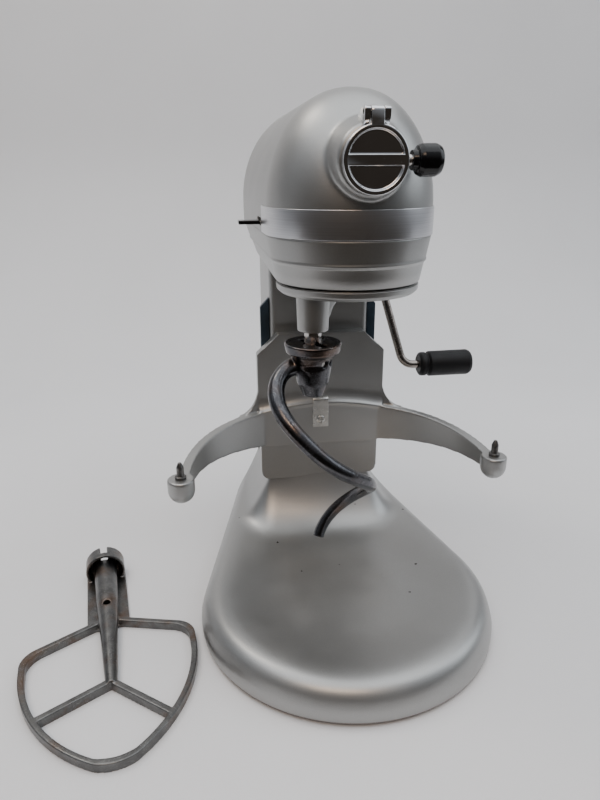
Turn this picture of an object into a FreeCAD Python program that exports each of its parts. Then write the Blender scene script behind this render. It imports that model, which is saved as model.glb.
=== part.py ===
import FreeCAD, Part
import Sketcher
import math
import os
from types import SimpleNamespace

from FreeCAD import Placement, Rotation, Vector

# Bowl-lift stand mixer with its dough hook fitted and its flat beater lying beside it.
# Millimetres. X to the right, Y to the back, Z up. The origin is on the floor, under the planetary axis.

X = Vector(1, 0, 0)
Y = Vector(0, 1, 0)
Z = Vector(0, 0, 1)

doc = FreeCAD.newDocument("StandMixer")
sheet = doc.addObject("Spreadsheet::Sheet", "Sizes")

DIMENSIONS = [
    # gears: module and tooth counts
    ("gear_module", 1.5), ("ring_teeth", 60), ("planet_teeth", 12), ("centre_teeth", 46),
    ("pinion_teeth", 14), ("wheel_teeth", 20), ("worm_radius", 7), ("bevel_teeth", 24),
    ("hub_bevel_teeth", 16), ("orbit_angle", 215.3), ("backlash", 0.3), ("ring_wall", 5),
    ("ring_gear_radius", "=gear_module * ring_teeth / 2 + ring_wall"), ("ring_gear_bottom", 296.5),
    ("gear_width", 11), ("centre_gear_bottom", 316.5),
    ("centre_gear_width", 9), ("bearing_plate_bottom", 334), ("bearing_plate_thickness", 6),
    ("bearing_radius", 11), ("spindle_radius", 7), ("post_radius", 5), ("post_gap", 8.5),
    # base casting
    ("casting_bottom", 3), ("base_front_radius", 124), ("base_front_y", -16), ("base_corner_radius", 40),
    ("base_corner_x", 45), ("base_corner_y", 172), ("rim_height", 32), ("rim_round", 13),
    ("casting_wall", 6), ("dish_depth", 9), ("dish_inset", 22), ("dish_slope", 18),
    ("dish_corner_inset", 16.3), ("dish_corner_angle", 68.2), ("front_foot_inset", 24.7),
    ("front_foot_angle", -48), ("rear_foot_out", 18),
    # column
    ("column_half_width", 47), ("column_front", 112), ("column_back", 205), ("column_wall", 6),
    ("column_corner", 4), ("neck_top", 95), ("shoulder_half_width", 78), ("shoulder_front", 84),
    ("window_half_width", 15), ("window_bottom", 130), ("window_top", 192),
    # feet and rails
    ("foot_radius", 10), ("foot_height", 5), ("foot_screw_radius", 2.5), ("foot_screw_length", 7),
    ("rail_width", 8.5), ("rail_depth", 6), ("rail_front", 115.5), ("rail_bottom", 98), ("rail_top", 256),
    ("rail_chamfer", 9), ("rail_screw_radius", 2), ("rail_screw_length", 10),
    # head casings
    ("head_bottom", 290), ("bead_height", 307), ("casing_seam", 323), ("head_top", 419),
    ("skirt_wall", 3.4), ("casing_flare", 6.6), ("ring_radius", "=ring_gear_radius + skirt_wall"),
    ("band_radius", "=ring_radius + casing_flare"), ("rear_radius", 64), ("rear_centre_y", 167),
    ("underside_rear_radius", 52), ("head_wall", 4), ("gear_floor_bottom", 309), ("gear_floor_top", 315),
    ("cover_seam_y", 205), ("seam_gap", 0.3), ("floor_thickness", 7),
    ("band_height", 19.5), ("band_thickness", 0.9), ("band_end_y", 22),
    ("vent_count", 5), ("vent_pitch", 7), ("vent_height", 2.6), ("vent_half_width", 26),
    ("cover_post_end", 214), ("cover_screw_seat", 224),
    # attachment hub
    ("hub_height", 371.6), ("hub_reach", 6), ("hub_bore_radius", 17.5), ("hub_wall", 4.5),
    ("hub_root_radius", "=hub_rim_radius + 5"), ("hub_rim_radius", "=hub_bore_radius + hub_wall"),
    ("hub_bore_length", 24), ("hub_tube_length", 18), ("hub_cover_lip", 3), ("hub_cover_thickness", 7),
    ("cover_gap", 0.5), ("hub_front", "=-band_radius - hub_reach"),
    ("hub_bore_end", "=hub_front + hub_bore_length"), ("hub_tube_end", "=hub_bore_end + hub_tube_length"),
    ("hub_cover_radius", "=hub_bore_radius + hub_cover_lip"), ("hub_cover_back", "=hub_front - cover_gap"),
    ("hub_cover_face", "=hub_cover_back - hub_cover_thickness"),
    ("hinge_reach", 3.2), ("hinge_rise", 6.2), ("hinge_y", "=hub_front - hinge_reach"),
    ("hinge_height", "=hub_height + hub_cover_radius + hinge_rise"), ("knuckle_radius", 3.3),
    ("knuckle_half", 4), ("hinge_pin_radius", 1.5), ("hinge_half", 8), ("knob_inset", 6),
    ("knob_y", "=hub_front + knob_inset"), ("knob_radius", 10), ("knob_gap", 3.5), ("knob_length", 20),
    ("knob_start", "=hub_rim_radius + knob_gap"), ("knob_end", "=knob_start + knob_length"),
    ("knob_stem_radius", 3.5), ("socket_radius", 9), ("square_drive", 8.4),
    # planetary
    ("drip_ring_bottom", 282), ("drip_ring_taper", 2.4), ("carrier_step", 1.8), ("carrier_gap", 0.6),
    ("drip_ring_lower_radius", "=ring_radius - drip_ring_taper"),
    ("carrier_radius", "=ring_gear_radius - carrier_step"),
    ("drip_ring_bore", "=carrier_radius + carrier_gap"),
    ("carrier_bottom", 283), ("carrier_top", 295), ("boss_radius", 11.3),
    ("boss_root_radius", 12.2), ("boss_bottom", 256.5), ("beater_shaft_radius", 6.35),
    ("beater_shaft_bottom", 219), ("cross_pin_radius", 2.4), ("cross_pin_length", 24),
    ("cross_pin_height", 234), ("cross_pin_angle", -60),
    # dough hook
    ("hook_collar_radius", 21.3), ("hook_collar_top", 248), ("hook_body_radius", 14),
    ("hook_body_bottom", 207), ("hook_rod_radius", 6.3), ("hook_tip_radius", 4.7),
    # motor
    ("motor_height", 355), ("stator_radius", 38), ("stator_bore", 27.5), ("stator_front", 104),
    ("stator_back", 156), ("bracket_thickness", 6), ("rotor_radius", 26.8), ("motor_shaft_radius", 5),
    ("fan_radius", 30), ("fan_blades", 10), ("commutator_radius", 13), ("brush_length", 16),
    # yoke
    ("yoke_front", 100), ("yoke_back", 111.6), ("yoke_half_width", 61), ("yoke_top", 224),
    ("yoke_chamfer_x", 20), ("yoke_chamfer_z", 18.5), ("yoke_middle", 150), ("lower_front", 106),
    ("lower_half_width", "=column_half_width + rail_width + side_play + gib_leg"), ("side_play", 0.1),
    ("gib_leg", 3.4), ("lower_bottom", 72.7), ("lower_corner", 8), ("web_front", 95),
    ("web_top", 157), ("web_shoulder", 150), ("web_bottom", 114), ("arm_thickness", 9), ("pin_spacing", 267),
    ("arm_tip_top", 134), ("arm_tip_bottom", 121), ("pad_radius", 11), ("pad_bottom", 113),
    ("locating_pin_radius", 3), ("locating_pin_height", 14), ("locating_flange_radius", 4.6),
    ("gib_bottom", 102), ("gib_top", 198), ("gib_thickness", 4.6), ("slide_gap", 0.4),
    ("latch_left", -9), ("latch_right", 6), ("latch_bottom", 132), ("latch_top", 163), ("latch_sheet", 1.5),
    # bowl lift
    ("lift_y", 150), ("lift_height", 262), ("lift_shaft_radius", 5), ("bush_radius", 8), ("bush_start", 22),
    ("crank_radius", 15), ("crank_half_width", 5), ("crank_hub_radius", 9), ("crank_swing", 75),
    ("crank_pin_radius", 2.5), ("link_thickness", 5), ("link_gap", 2), ("link_slack", 2.3),
    ("lever_radius", 4), ("lever_knee_x", 63), ("lever_bend_x", 91), ("lever_bend_y", 131),
    ("grip_height", 179), ("grip_start", 107), ("grip_end", 162), ("grip_radius", 13),
    ("bracket_height", 140), ("bracket_bar", 10),
    # speed control
    ("lever_height", 330), ("lever_thickness", 1.4), ("lever_width", 8), ("pivot_gap", 9.55),
    ("pivot_angle", 39.47),
    ("pivot_reach", "=gear_module * centre_teeth / 2 + pivot_gap"),
    ("pivot_x", "=-pivot_reach * cos(pivot_angle * 1deg)"),
    ("pivot_y", "=pivot_reach * sin(pivot_angle * 1deg)"),
    ("lever_tip_x", -78), ("lever_slot_back", 52), ("pivot_radius", 2), ("head_bolt_inset", 19),
    ("head_bolt_front", 18), ("head_bolt_back", 17),
    # flat beater
    ("beater_x", "=-base_front_radius - beater_half_width"), ("beater_y", -73), ("beater_turn", 9),
    ("beater_half_width", 68),
    ("beater_bottom", -74), ("beater_shoulder", 48), ("beater_crown", 76), ("beater_bar", 5),
    ("beater_thickness", 7.5), ("beater_hub_start", 96), ("beater_hub_end", 150),
    ("beater_hub_radius", 10.5), ("beater_tip_radius", 4.6), ("guard_radius", 17.5),
    ("guard_wall", 2.5), ("wing_thickness", 3), ("bayonet_slot", 6),
    # clearances
    ("running_fit", 0.05), ("air_gap", 0.3),
]
for row, (alias, value) in enumerate(DIMENSIONS, start=1):
    sheet.set("A%d" % row, alias)
    sheet.setAlias("B%d" % row, alias)
for row, (alias, value) in enumerate(DIMENSIONS, start=1):
    sheet.set("B%d" % row, str(value))
doc.recompute()
S = SimpleNamespace(**{alias: float(sheet.get(alias)) for alias, _ in DIMENSIONS})

nodes = []


def node(thing, label):
    """Register a finished object as one named sub-part."""
    thing.Label = label
    nodes.append(thing)
    return thing


def bind(thing, **formulas):
    """Tie properties of an object to formulas over the sheet."""
    for name, formula in formulas.items():
        thing.setExpression(name.replace("__", "."), formula)


def place(thing, at, turn=None):
    """Put an object at three formulas, turned by a fixed rotation."""
    if turn is not None:
        thing.Placement = Placement(Vector(0, 0, 0), turn)
    bind(thing, Placement__Base__x=at[0], Placement__Base__y=at[1], Placement__Base__z=at[2])


def formula_value(formula):
    return float(sheet.evalExpression(formula.replace("Sizes.", "")))


def outline_sketch(body, plane, outline):
    """Closed polygon whose corners are pairs of formulas, measured from the plane's origin."""
    sketch = body.newObject("Sketcher::SketchObject", body.Name + "Outline")
    planes = [f for f in body.Origin.OriginFeatures if f.Role == plane]
    sketch.AttachmentSupport = [(planes[0], "")]
    sketch.MapMode = "FlatFace"
    corners = [Vector(formula_value(u), formula_value(v), 0) for u, v in outline]
    for start, end in zip(corners, corners[1:] + corners[:1]):
        sketch.addGeometry(Part.LineSegment(start, end), False)
    count = len(corners)
    for k in range(count):
        sketch.addConstraint(Sketcher.Constraint("Coincident", k, 2, (k + 1) % count, 1))
    for k, (u, v) in enumerate(outline):
        for kind, formula, number in (("DistanceX", u, corners[k].x), ("DistanceY", v, corners[k].y)):
            if number == 0:
                axis = -2 if kind == "DistanceX" else -1
                sketch.addConstraint(Sketcher.Constraint("PointOnObject", k, 1, axis))
            else:
                index = sketch.addConstraint(Sketcher.Constraint(kind, -1, 1, k, 1, number))
                sketch.setExpression("Constraints[%d]" % index, formula)
    return sketch


def turned(label, outline, at=("0", "0", "0"), turn=None):
    """Turned piece: a PartDesign revolution of (radius, height) corners about its own Z axis."""
    body = doc.addObject("PartDesign::Body", label)
    sketch = outline_sketch(body, "XZ_Plane", outline)
    revolution = body.newObject("PartDesign::Revolution", label + "Turn")
    revolution.Profile = sketch
    revolution.ReferenceAxis = (sketch, ["V_Axis"])
    revolution.Angle = 360
    place(body, at, turn)
    return node(body, label)


def ring_outline(inner, outer, bottom, top):
    return [(inner, bottom), (outer, bottom), (outer, top), (inner, top)]


def casting(label, shape):
    """Shape made with Part's own functions, for what a sketch doesn't describe well."""
    feature = doc.addObject("Part::Feature", label)
    feature.Shape = shape
    return node(feature, label)


def group(label, shapes):
    """Identical fasteners: separate solids in one node."""
    return casting(label, Part.makeCompound(shapes))


def hull_wire(circles, z):
    """Outline pulled tight around circles (x, y, radius) given counter-clockwise."""
    count = len(circles)
    normals = []
    for k, (ax, ay, ar) in enumerate(circles):
        bx, by, br = circles[(k + 1) % count]
        span = math.hypot(bx - ax, by - ay)
        ux, uy = (bx - ax) / span, (by - ay) / span
        cosine = (ar - br) / span
        sine = math.sqrt(1 - cosine * cosine)
        normals.append(math.atan2(uy * cosine - ux * sine, ux * cosine + uy * sine))
    edges = []
    for k, (ax, ay, ar) in enumerate(circles):
        bx, by, br = circles[(k + 1) % count]
        here, after = normals[k], normals[(k + 1) % count]
        turn = (after - here) % (2 * math.pi)

        def on(x, y, radius, angle):
            return Vector(x + radius * math.cos(angle), y + radius * math.sin(angle), z)
        edges.append(Part.LineSegment(on(ax, ay, ar, here), on(bx, by, br, here)).toShape())
        arc = Part.Arc(on(bx, by, br, here), on(bx, by, br, here + turn / 2), on(bx, by, br, here + turn))
        edges.append(arc.toShape())
    return Part.Wire(edges)


def prism(wire, height):
    return Part.Face(wire).extrude(Vector(0, 0, height))


def box(x0, x1, y0, y1, z0, z1):
    return Part.makeBox(x1 - x0, y1 - y0, z1 - z0, Vector(x0, y0, z0))


def rounded_rectangle(half_width, front, back, corner, z):
    """Plan outline of the column at one height."""
    hx, r = half_width - corner, corner
    return hull_wire([(-hx, front + r, r), (hx, front + r, r), (hx, back - r, r), (-hx, back - r, r)], z)


def polygon(points):
    return Part.makePolygon(points + points[:1])


def bent_rod(points, bends, radius):
    """Round rod along straight runs joined by tangent arcs."""
    edges = []
    start = points[0]
    for before, corner, after, bend in zip(points, points[1:], points[2:], bends):
        to_before = (before - corner).normalize()
        to_after = (after - corner).normalize()
        half = to_before.getAngle(to_after) / 2
        cut = bend / math.tan(half)
        first, last = corner + to_before * cut, corner + to_after * cut
        centre = corner + (to_before + to_after).normalize() * (bend / math.sin(half))
        middle = centre + (corner - centre).normalize() * bend
        edges += [Part.LineSegment(start, first).toShape(), Part.Arc(first, middle, last).toShape()]
        start = last
    edges.append(Part.LineSegment(start, points[-1]).toShape())
    path = Part.Wire(edges)
    section = Part.Wire(Part.Circle(points[0], points[1] - points[0], radius).toShape())
    return path.makePipeShell([section], True, False)


# ---- gear outlines ----

def involute_angle(radius, base):
    tangent = math.sqrt(max((radius / base) ** 2 - 1, 0))
    return tangent - math.atan(tangent)


def gear_points(teeth, tip, root, thinning, first_tooth):
    """Corners of an involute gear; thinning narrows each tooth at the pitch circle."""
    pitch = S.gear_module * teeth / 2
    base = pitch * math.cos(math.radians(20))
    half = (math.pi * S.gear_module / 2 - thinning) / pitch / 2 + involute_angle(pitch, base)
    start = max(base, root)
    radii = [start + (tip - start) * k / 4 for k in range(5)]
    flank = [(r, half - involute_angle(r, base)) for r in radii]
    corners = [(root, flank[0][1])] if root < start - 0.05 else []
    corners += flank
    points = []
    for tooth in range(teeth):
        centre = math.radians(first_tooth) + 2 * math.pi * tooth / teeth
        sides = [(r, -a) for r, a in corners] + [(r, a) for r, a in reversed(corners)]
        points += [Vector(r * math.cos(centre + a), r * math.sin(centre + a), 0) for r, a in sides]
    return points


def spur_gear(teeth, width, first_tooth, bore, addendum=0.8):
    pitch = S.gear_module * teeth / 2
    tip, root = pitch + addendum * S.gear_module, pitch - 1.15 * S.gear_module
    blank = Part.Face(polygon(gear_points(teeth, tip, root, S.backlash, first_tooth)))
    gear = blank.extrude(Vector(0, 0, width))
    return gear.cut(Part.makeCylinder(bore, width + 2, Vector(0, 0, -1)))


def bevel_gear(teeth, cone_height, first_tooth, small_end):
    """Straight bevel gear on the XY plane with its apex above, at cone_height."""
    pitch = S.gear_module * teeth / 2
    tip, root = pitch + 0.65 * S.gear_module, pitch - 1.35 * S.gear_module
    large = gear_points(teeth, tip, root, 3 * S.backlash, first_tooth)
    rise = cone_height * (1 - small_end)
    small = [Vector(p.x * small_end, p.y * small_end, rise) for p in large]
    return Part.makeLoft([polygon(large), polygon(small)], True, True)


# ---- pedestal ----

def base_circles(inset):
    corner = S.base_corner_radius - inset
    return [(0, S.base_front_y, S.base_front_radius - inset),
            (S.base_corner_x, S.base_corner_y, corner), (-S.base_corner_x, S.base_corner_y, corner)]


def from_base_front(inset, angle):
    """Point on a circle inside the base's round front, at an angle from X."""
    reach = S.base_front_radius - inset
    return (reach * math.cos(math.radians(angle)), S.base_front_y + reach * math.sin(math.radians(angle)))


def dish_circles(inset):
    corner = max(S.base_corner_radius - inset, 6)
    x, y = from_base_front(S.dish_corner_inset, S.dish_corner_angle)
    return [(0, S.base_front_y, S.base_front_radius - inset), (x, y, corner), (-x, y, corner)]


FOOT_PLACES = [(0, 0)]
for side in (-1, 1):
    x, y = from_base_front(S.front_foot_inset, S.front_foot_angle)
    FOOT_PLACES += [(side * x, y), (side * (S.base_corner_x + S.rear_foot_out), S.base_corner_y - 4)]
HEAD_BOLT_PLACES = [(side * (S.column_half_width - S.head_bolt_inset), y) for side in (-1, 1)
                    for y in (S.column_front + S.head_bolt_front, S.column_back - S.head_bolt_back)]


def make_pedestal():
    low, top = S.casting_bottom, S.rim_height
    slab = prism(hull_wire(base_circles(0), low), top - low)
    crest = [e for e in slab.Edges if all(abs(v.Point.z - top) < 0.01 for v in e.Vertexes)]
    slab = slab.makeFillet(S.rim_round, crest)
    dish = Part.makeLoft([hull_wire(dish_circles(S.dish_inset + S.dish_slope), top - S.dish_depth),
                          hull_wire(dish_circles(S.dish_inset), top + 0.1)], True, False)
    slab = slab.cut(dish)
    half, front, back = S.column_half_width, S.column_front, S.column_back
    spread = S.shoulder_half_width - half
    lean = front - S.shoulder_front
    levels = [(top - S.dish_depth - 1, 1.0, 1.0, 26), (46, 0.62, 0.5, 20), (60, 0.36, 0.14, 14),
              (70, 0.2, 0.0, 9), (S.neck_top, 0.0, 0.0, S.column_corner)]
    sections = [rounded_rectangle(half + spread * wide, front - lean * fore, back, corner, z)
                for z, wide, fore, corner in levels]
    neck = Part.makeLoft(sections, True, True)
    column = prism(rounded_rectangle(half, front, back, S.column_corner, S.neck_top),
                   S.head_bottom - S.neck_top)
    body = slab.fuse(neck).fuse(column)
    wall = S.casting_wall
    hollow = prism(hull_wire(base_circles(wall), low - 1), top - S.dish_depth - wall - low + 1)
    inside = box(-half + wall, half - wall, front + wall, back - wall, low - 1, S.head_bottom - 4)
    window = box(-S.window_half_width, S.window_half_width, front - 1, front + wall + 1,
                 S.window_bottom, S.window_top)
    body = body.cut(hollow).cut(inside).cut(window)
    for x, y in FOOT_PLACES:
        boss = Part.makeCylinder(S.foot_radius + 2, top - S.dish_depth - S.foot_height - 1,
                                 Vector(x, y, S.foot_height))
        hole = Part.makeCylinder(S.foot_screw_radius + S.running_fit, S.foot_screw_length,
                                 Vector(x, y, S.foot_height - 1))
        body = body.fuse(boss).cut(hole)
    bush = Part.makeCylinder(S.bush_radius + 3, half - wall / 2 - S.bush_start,
                             Vector(S.bush_start, S.lift_y, S.lift_height), X)
    bush_hole = Part.makeCylinder(S.bush_radius + S.running_fit, half, Vector(S.bush_start - 1, S.lift_y,
                                                                              S.lift_height), X)
    body = body.fuse(bush).cut(bush_hole)
    for x, y in HEAD_BOLT_PLACES:
        body = body.cut(Part.makeCylinder(4 + S.running_fit, 12, Vector(x, y, S.head_bottom - 8)))
    for x, z in rail_screw_places():
        start = Vector(x, S.rail_front + S.rail_depth / 2, z)
        inward = X if x < 0 else -X
        body = body.cut(Part.makeCylinder(S.rail_screw_radius + S.running_fit, S.rail_screw_length, start,
                                          inward))
    gland = Part.makeCylinder(7 + S.running_fit, 12, Vector(0, back - 9, S.lift_height - 20), Y)
    return body.cut(gland)


def rail_screw_places():
    outer = S.column_half_width + S.rail_width
    return [(side * outer, z) for side in (-1, 1) for z in (S.rail_bottom + 14, S.rail_top - 24)]


casting("pedestal", make_pedestal())

group("rubber_feet", [
    Part.makeCylinder(S.foot_radius, S.foot_height, Vector(x, y, 0)).cut(
        Part.makeCylinder(S.foot_screw_radius + S.running_fit, S.foot_height, Vector(x, y, 1.5)))
    for x, y in FOOT_PLACES])
group("foot_screws", [
    Part.makeCylinder(S.foot_screw_radius, S.foot_screw_length, Vector(x, y, 1.5 + S.running_fit))
    for x, y in FOOT_PLACES])


def guide_rail(side):
    inner, outer = S.column_half_width, S.column_half_width + S.rail_width
    points = [Vector(inner, 0, S.rail_bottom), Vector(outer, 0, S.rail_bottom),
              Vector(outer, 0, S.rail_top - S.rail_chamfer), Vector(inner, 0, S.rail_top)]
    rail = Part.Face(polygon([Vector(side * p.x, S.rail_front, p.z) for p in points]))
    rail = rail.extrude(Vector(0, S.rail_depth, 0))
    for x, z in rail_screw_places():
        if x * side > 0:
            rail = rail.cut(Part.makeCylinder(S.rail_screw_radius + S.running_fit, S.rail_width + 4,
                                              Vector(x + 2 * side, S.rail_front + S.rail_depth / 2, z),
                                              X * -side))
    return rail


group("guide_rails", [guide_rail(-1), guide_rail(1)])
group("rail_screws", [
    Part.makeCylinder(S.rail_screw_radius, S.rail_screw_length,
                      Vector(x, S.rail_front + S.rail_depth / 2, z), X if x < 0 else -X)
    for x, z in rail_screw_places()])
group("head_bolts", [
    Part.makeCylinder(4, 15, Vector(x, y, S.head_bottom - 4)).fuse(
        Part.makeCylinder(6.5, 5, Vector(x, y, S.head_bottom - 9)))
    for x, y in HEAD_BOLT_PLACES])
turned("cord_gland", ring_outline("4", "7", "-Sizes.column_wall", "0")[:2] + [
    ("7", "0"), ("9", "0"), ("9", "3"), ("4", "3")],
    at=("0", "Sizes.column_back", "Sizes.lift_height - 20"), turn=Rotation(X, -90))

# ---- head casings ----


def head_circles(front, rear, rear_y):
    return [(0, 0, front), (0, rear_y, rear)]


def lower_head(inset, bottom, top):
    """Solid of the gearcase part of the head, shrunk by an inset."""
    slope = (S.band_radius - S.ring_radius) / (S.casing_seam - S.head_bottom)
    rear_slope = (S.rear_radius - S.underside_rear_radius) / (S.casing_seam - S.head_bottom)
    wires = []
    for z in (bottom, top):
        rise = z - S.head_bottom
        wires.append(hull_wire(head_circles(S.ring_radius + slope * rise - inset,
                                            S.underside_rear_radius + rear_slope * rise - inset,
                                            S.rear_centre_y), z))
    return Part.makeLoft(wires, True, True)


def upper_head(inset, bottom):
    """Domed upper half of the head, shrunk by an inset."""
    wall_top = S.casing_seam + S.band_height
    wires = [hull_wire(head_circles(S.band_radius - inset, S.rear_radius - inset, S.rear_centre_y), bottom),
             hull_wire(head_circles(S.band_radius - inset, S.rear_radius - inset, S.rear_centre_y), wall_top)]
    height = S.head_top - inset - wall_top
    for angle in (18, 34, 48, 60, 71, 80, 86):
        share = math.cos(math.radians(angle)) ** 0.9
        z = wall_top + height * math.sin(math.radians(angle)) ** 1.05
        rear_y = S.rear_centre_y - 22 * (1 - share)
        wires.append(hull_wire(head_circles((S.band_radius - inset) * share + 1,
                                            (S.rear_radius - inset) * share, rear_y), z))
    return Part.makeLoft(wires, True, True)


rear_half = box(-100, 100, S.cover_seam_y, 260, 200, 450)
rear_gap = box(-100, 100, S.cover_seam_y - S.seam_gap, 260, 200, 450)
orbit = S.gear_module * (S.ring_teeth - S.planet_teeth) / 2
beater_x = orbit * math.cos(math.radians(S.orbit_angle))
beater_y = orbit * math.sin(math.radians(S.orbit_angle))
wheel_x = -(S.gear_module * S.wheel_teeth / 2 + S.worm_radius)
idler_distance = S.gear_module * (S.centre_teeth + S.pinion_teeth) / 2
wheel_y = math.sqrt(idler_distance ** 2 - wheel_x ** 2)


def make_gearcase():
    outer = lower_head(0, S.head_bottom, S.casing_seam)
    floor = S.head_bottom + S.floor_thickness
    inner = lower_head(S.head_wall, floor, S.casing_seam + 1)
    gear_floor = Part.makeCylinder(S.ring_gear_radius + 3, S.gear_floor_top, Vector(0, 0, 0))
    body = outer.cut(inner.cut(gear_floor))
    pocket = Part.makeCylinder(S.ring_gear_radius + S.running_fit, S.gear_floor_bottom - S.head_bottom + 1,
                               Vector(0, 0, S.head_bottom - 1))
    bore = Part.makeCylinder(S.bearing_radius + S.running_fit, 20, Vector(0, 0, S.gear_floor_bottom - 2))
    step = Part.makeCylinder(S.motor_shaft_radius + S.running_fit, 10,
                             Vector(wheel_x, wheel_y, S.gear_floor_top - 4))
    pivot = Part.makeCylinder(S.pivot_radius + S.running_fit, 10,
                              Vector(S.pivot_x, S.pivot_y, S.gear_floor_top - 4))
    body = body.cut(pocket).cut(bore).cut(step).cut(pivot)
    for x, y in HEAD_BOLT_PLACES:
        boss = Part.makeCylinder(8, 14, Vector(x, y, S.head_bottom))
        hole = Part.makeCylinder(4 + S.running_fit, 11 + 1.5, Vector(x, y, S.head_bottom - 1))
        body = body.fuse(boss).cut(hole)
    return body.cut(rear_gap)


casting("gearcase", make_gearcase())


def make_upper_housing():
    seam = S.casing_seam
    body = upper_head(0, seam)
    shell = body.cut(upper_head(S.head_wall, seam - 1)).cut(rear_gap)
    centre = Vector(0, S.hub_front, S.hub_height)
    tube = Part.makeCone(S.hub_rim_radius, S.hub_root_radius, 24, centre, Y)
    tube = tube.fuse(Part.makeCylinder(S.hub_root_radius - 4, S.hub_tube_end - S.hub_front - 20,
                                       centre + Y * 20, Y))
    shell = shell.fuse(tube)
    shell = shell.cut(Part.makeCylinder(S.hub_bore_radius, S.hub_bore_end - S.hub_front + 1, centre - Y, Y))
    shell = shell.cut(Part.makeCylinder(14 + S.running_fit, 60, centre + Y * 10, Y).common(
        box(-20, 20, S.hub_bore_end - 1, S.hub_tube_end + 1, 340, 400)))
    for side in (-1, 1):
        inner = S.knuckle_half + S.air_gap
        x0 = inner if side > 0 else -S.hinge_half
        width = S.hinge_half - inner
        knuckle = Part.makeCylinder(S.knuckle_radius, width, Vector(x0, S.hinge_y, S.hinge_height), X)
        lug = box(x0, x0 + width, S.hinge_y, S.hinge_y + 14, S.hinge_height - 10, S.hinge_height + 1.5)
        lug = lug.cut(Part.makeCylinder(S.hub_bore_radius, 30, centre - Y * 15, Y))
        lug = lug.cut(box(-20, 20, -90, S.hub_front, 300, S.hinge_height - S.knuckle_radius))
        shell = shell.fuse(knuckle.fuse(lug))
    pin = Part.makeCylinder(S.hinge_pin_radius + S.running_fit, 30, Vector(-15, S.hinge_y, S.hinge_height), X)
    shell = shell.cut(pin)
    stem = Part.makeCylinder(S.knob_stem_radius + S.running_fit, 30, Vector(10, S.knob_y, S.hub_height), X)
    slot = box(-80, -48, S.pivot_y - S.lever_width / 2 - 2, S.lever_slot_back, S.lever_height - 3,
               S.lever_height + 3)
    return shell.cut(stem).cut(slot)


casting("upper_housing", make_upper_housing())


def make_rear_cover():
    floor = S.head_bottom + S.floor_thickness
    outer = lower_head(0, S.head_bottom, S.casing_seam).fuse(upper_head(0, S.casing_seam))
    inner = lower_head(S.head_wall, floor, S.casing_seam).fuse(upper_head(S.head_wall, S.casing_seam))
    screw_at = Vector(0, S.cover_post_end, S.motor_height + 20)
    boss = Part.makeCylinder(6, S.cover_screw_seat - S.cover_post_end, screw_at, Y)
    cover = outer.cut(inner).common(rear_half).fuse(boss)
    for k in range(int(S.vent_count)):
        z = S.casing_seam + 8 + k * S.vent_pitch
        cover = cover.cut(box(-S.vent_half_width, S.vent_half_width, 212, 250, z, z + S.vent_height))
    head_place = screw_at + Y * (S.cover_screw_seat - S.cover_post_end)
    cover = cover.cut(Part.makeCylinder(4.5 + S.air_gap, 60, head_place, Y))
    return cover.cut(Part.makeCylinder(2.5 + S.running_fit, 60, screw_at - Y * 10, Y))


casting("rear_cover", make_rear_cover())


def make_band():
    inner, outer = S.band_radius + S.running_fit, S.band_radius + S.band_thickness
    slope = (S.rear_radius - S.band_radius) / S.rear_centre_y
    strips = [prism(hull_wire([(0, 0, r), (0, S.band_end_y + 60, r + slope * (S.band_end_y + 60))],
                              S.casing_seam + 0.2), S.band_height - 0.2) for r in (outer, inner)]
    return strips[0].cut(strips[1]).common(box(-90, 90, -90, S.band_end_y, 300, 400))


casting("trim_band", make_band())

# ---- attachment hub ----


def make_hub_cover():
    face, back = S.hub_cover_face, S.hub_cover_back
    centre = Vector(0, face, S.hub_height)
    disc = Part.makeCylinder(S.hub_cover_radius, back - face - 2, centre + Y * 2, Y)
    rim = Part.makeCylinder(S.hub_cover_radius, 2, centre, Y).cut(
        Part.makeCylinder(S.hub_cover_radius - 2.5, 3, centre, Y))
    ridge = box(-S.hub_cover_radius + 1, S.hub_cover_radius - 1, face, face + 3,
                S.hub_height - 4, S.hub_height + 4)
    plug = Part.makeCylinder(S.hub_bore_radius - 0.6, 4, centre + Y * (back - face), Y)
    plug = plug.cut(Part.makeCylinder(S.hub_bore_radius - 3, 6, centre + Y * (back - face), Y))
    knuckle = Part.makeCylinder(S.knuckle_radius, 2 * S.knuckle_half,
                                Vector(-S.knuckle_half, S.hinge_y, S.hinge_height), X)
    tab = box(-S.knuckle_half, S.knuckle_half, S.hinge_y - S.knuckle_radius, S.hinge_y - 0.6,
              S.hub_height + S.hub_cover_radius - 6, S.hinge_height)
    body = disc.fuse(rim).fuse(ridge).fuse(knuckle).fuse(tab)
    return body.cut(Part.makeCylinder(S.hinge_pin_radius + S.running_fit, 30,
                                      Vector(-15, S.hinge_y, S.hinge_height), X))


casting("hub_cover", make_hub_cover())
hinge_pin = doc.addObject("Part::Cylinder", "hub_hinge_pin")
bind(hinge_pin, Radius="Sizes.hinge_pin_radius", Height="2 * Sizes.hinge_half")
place(hinge_pin, ("-Sizes.hinge_half", "Sizes.hinge_y", "Sizes.hinge_height"), Rotation(Y, 90))
node(hinge_pin, "hub_hinge_pin")

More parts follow.
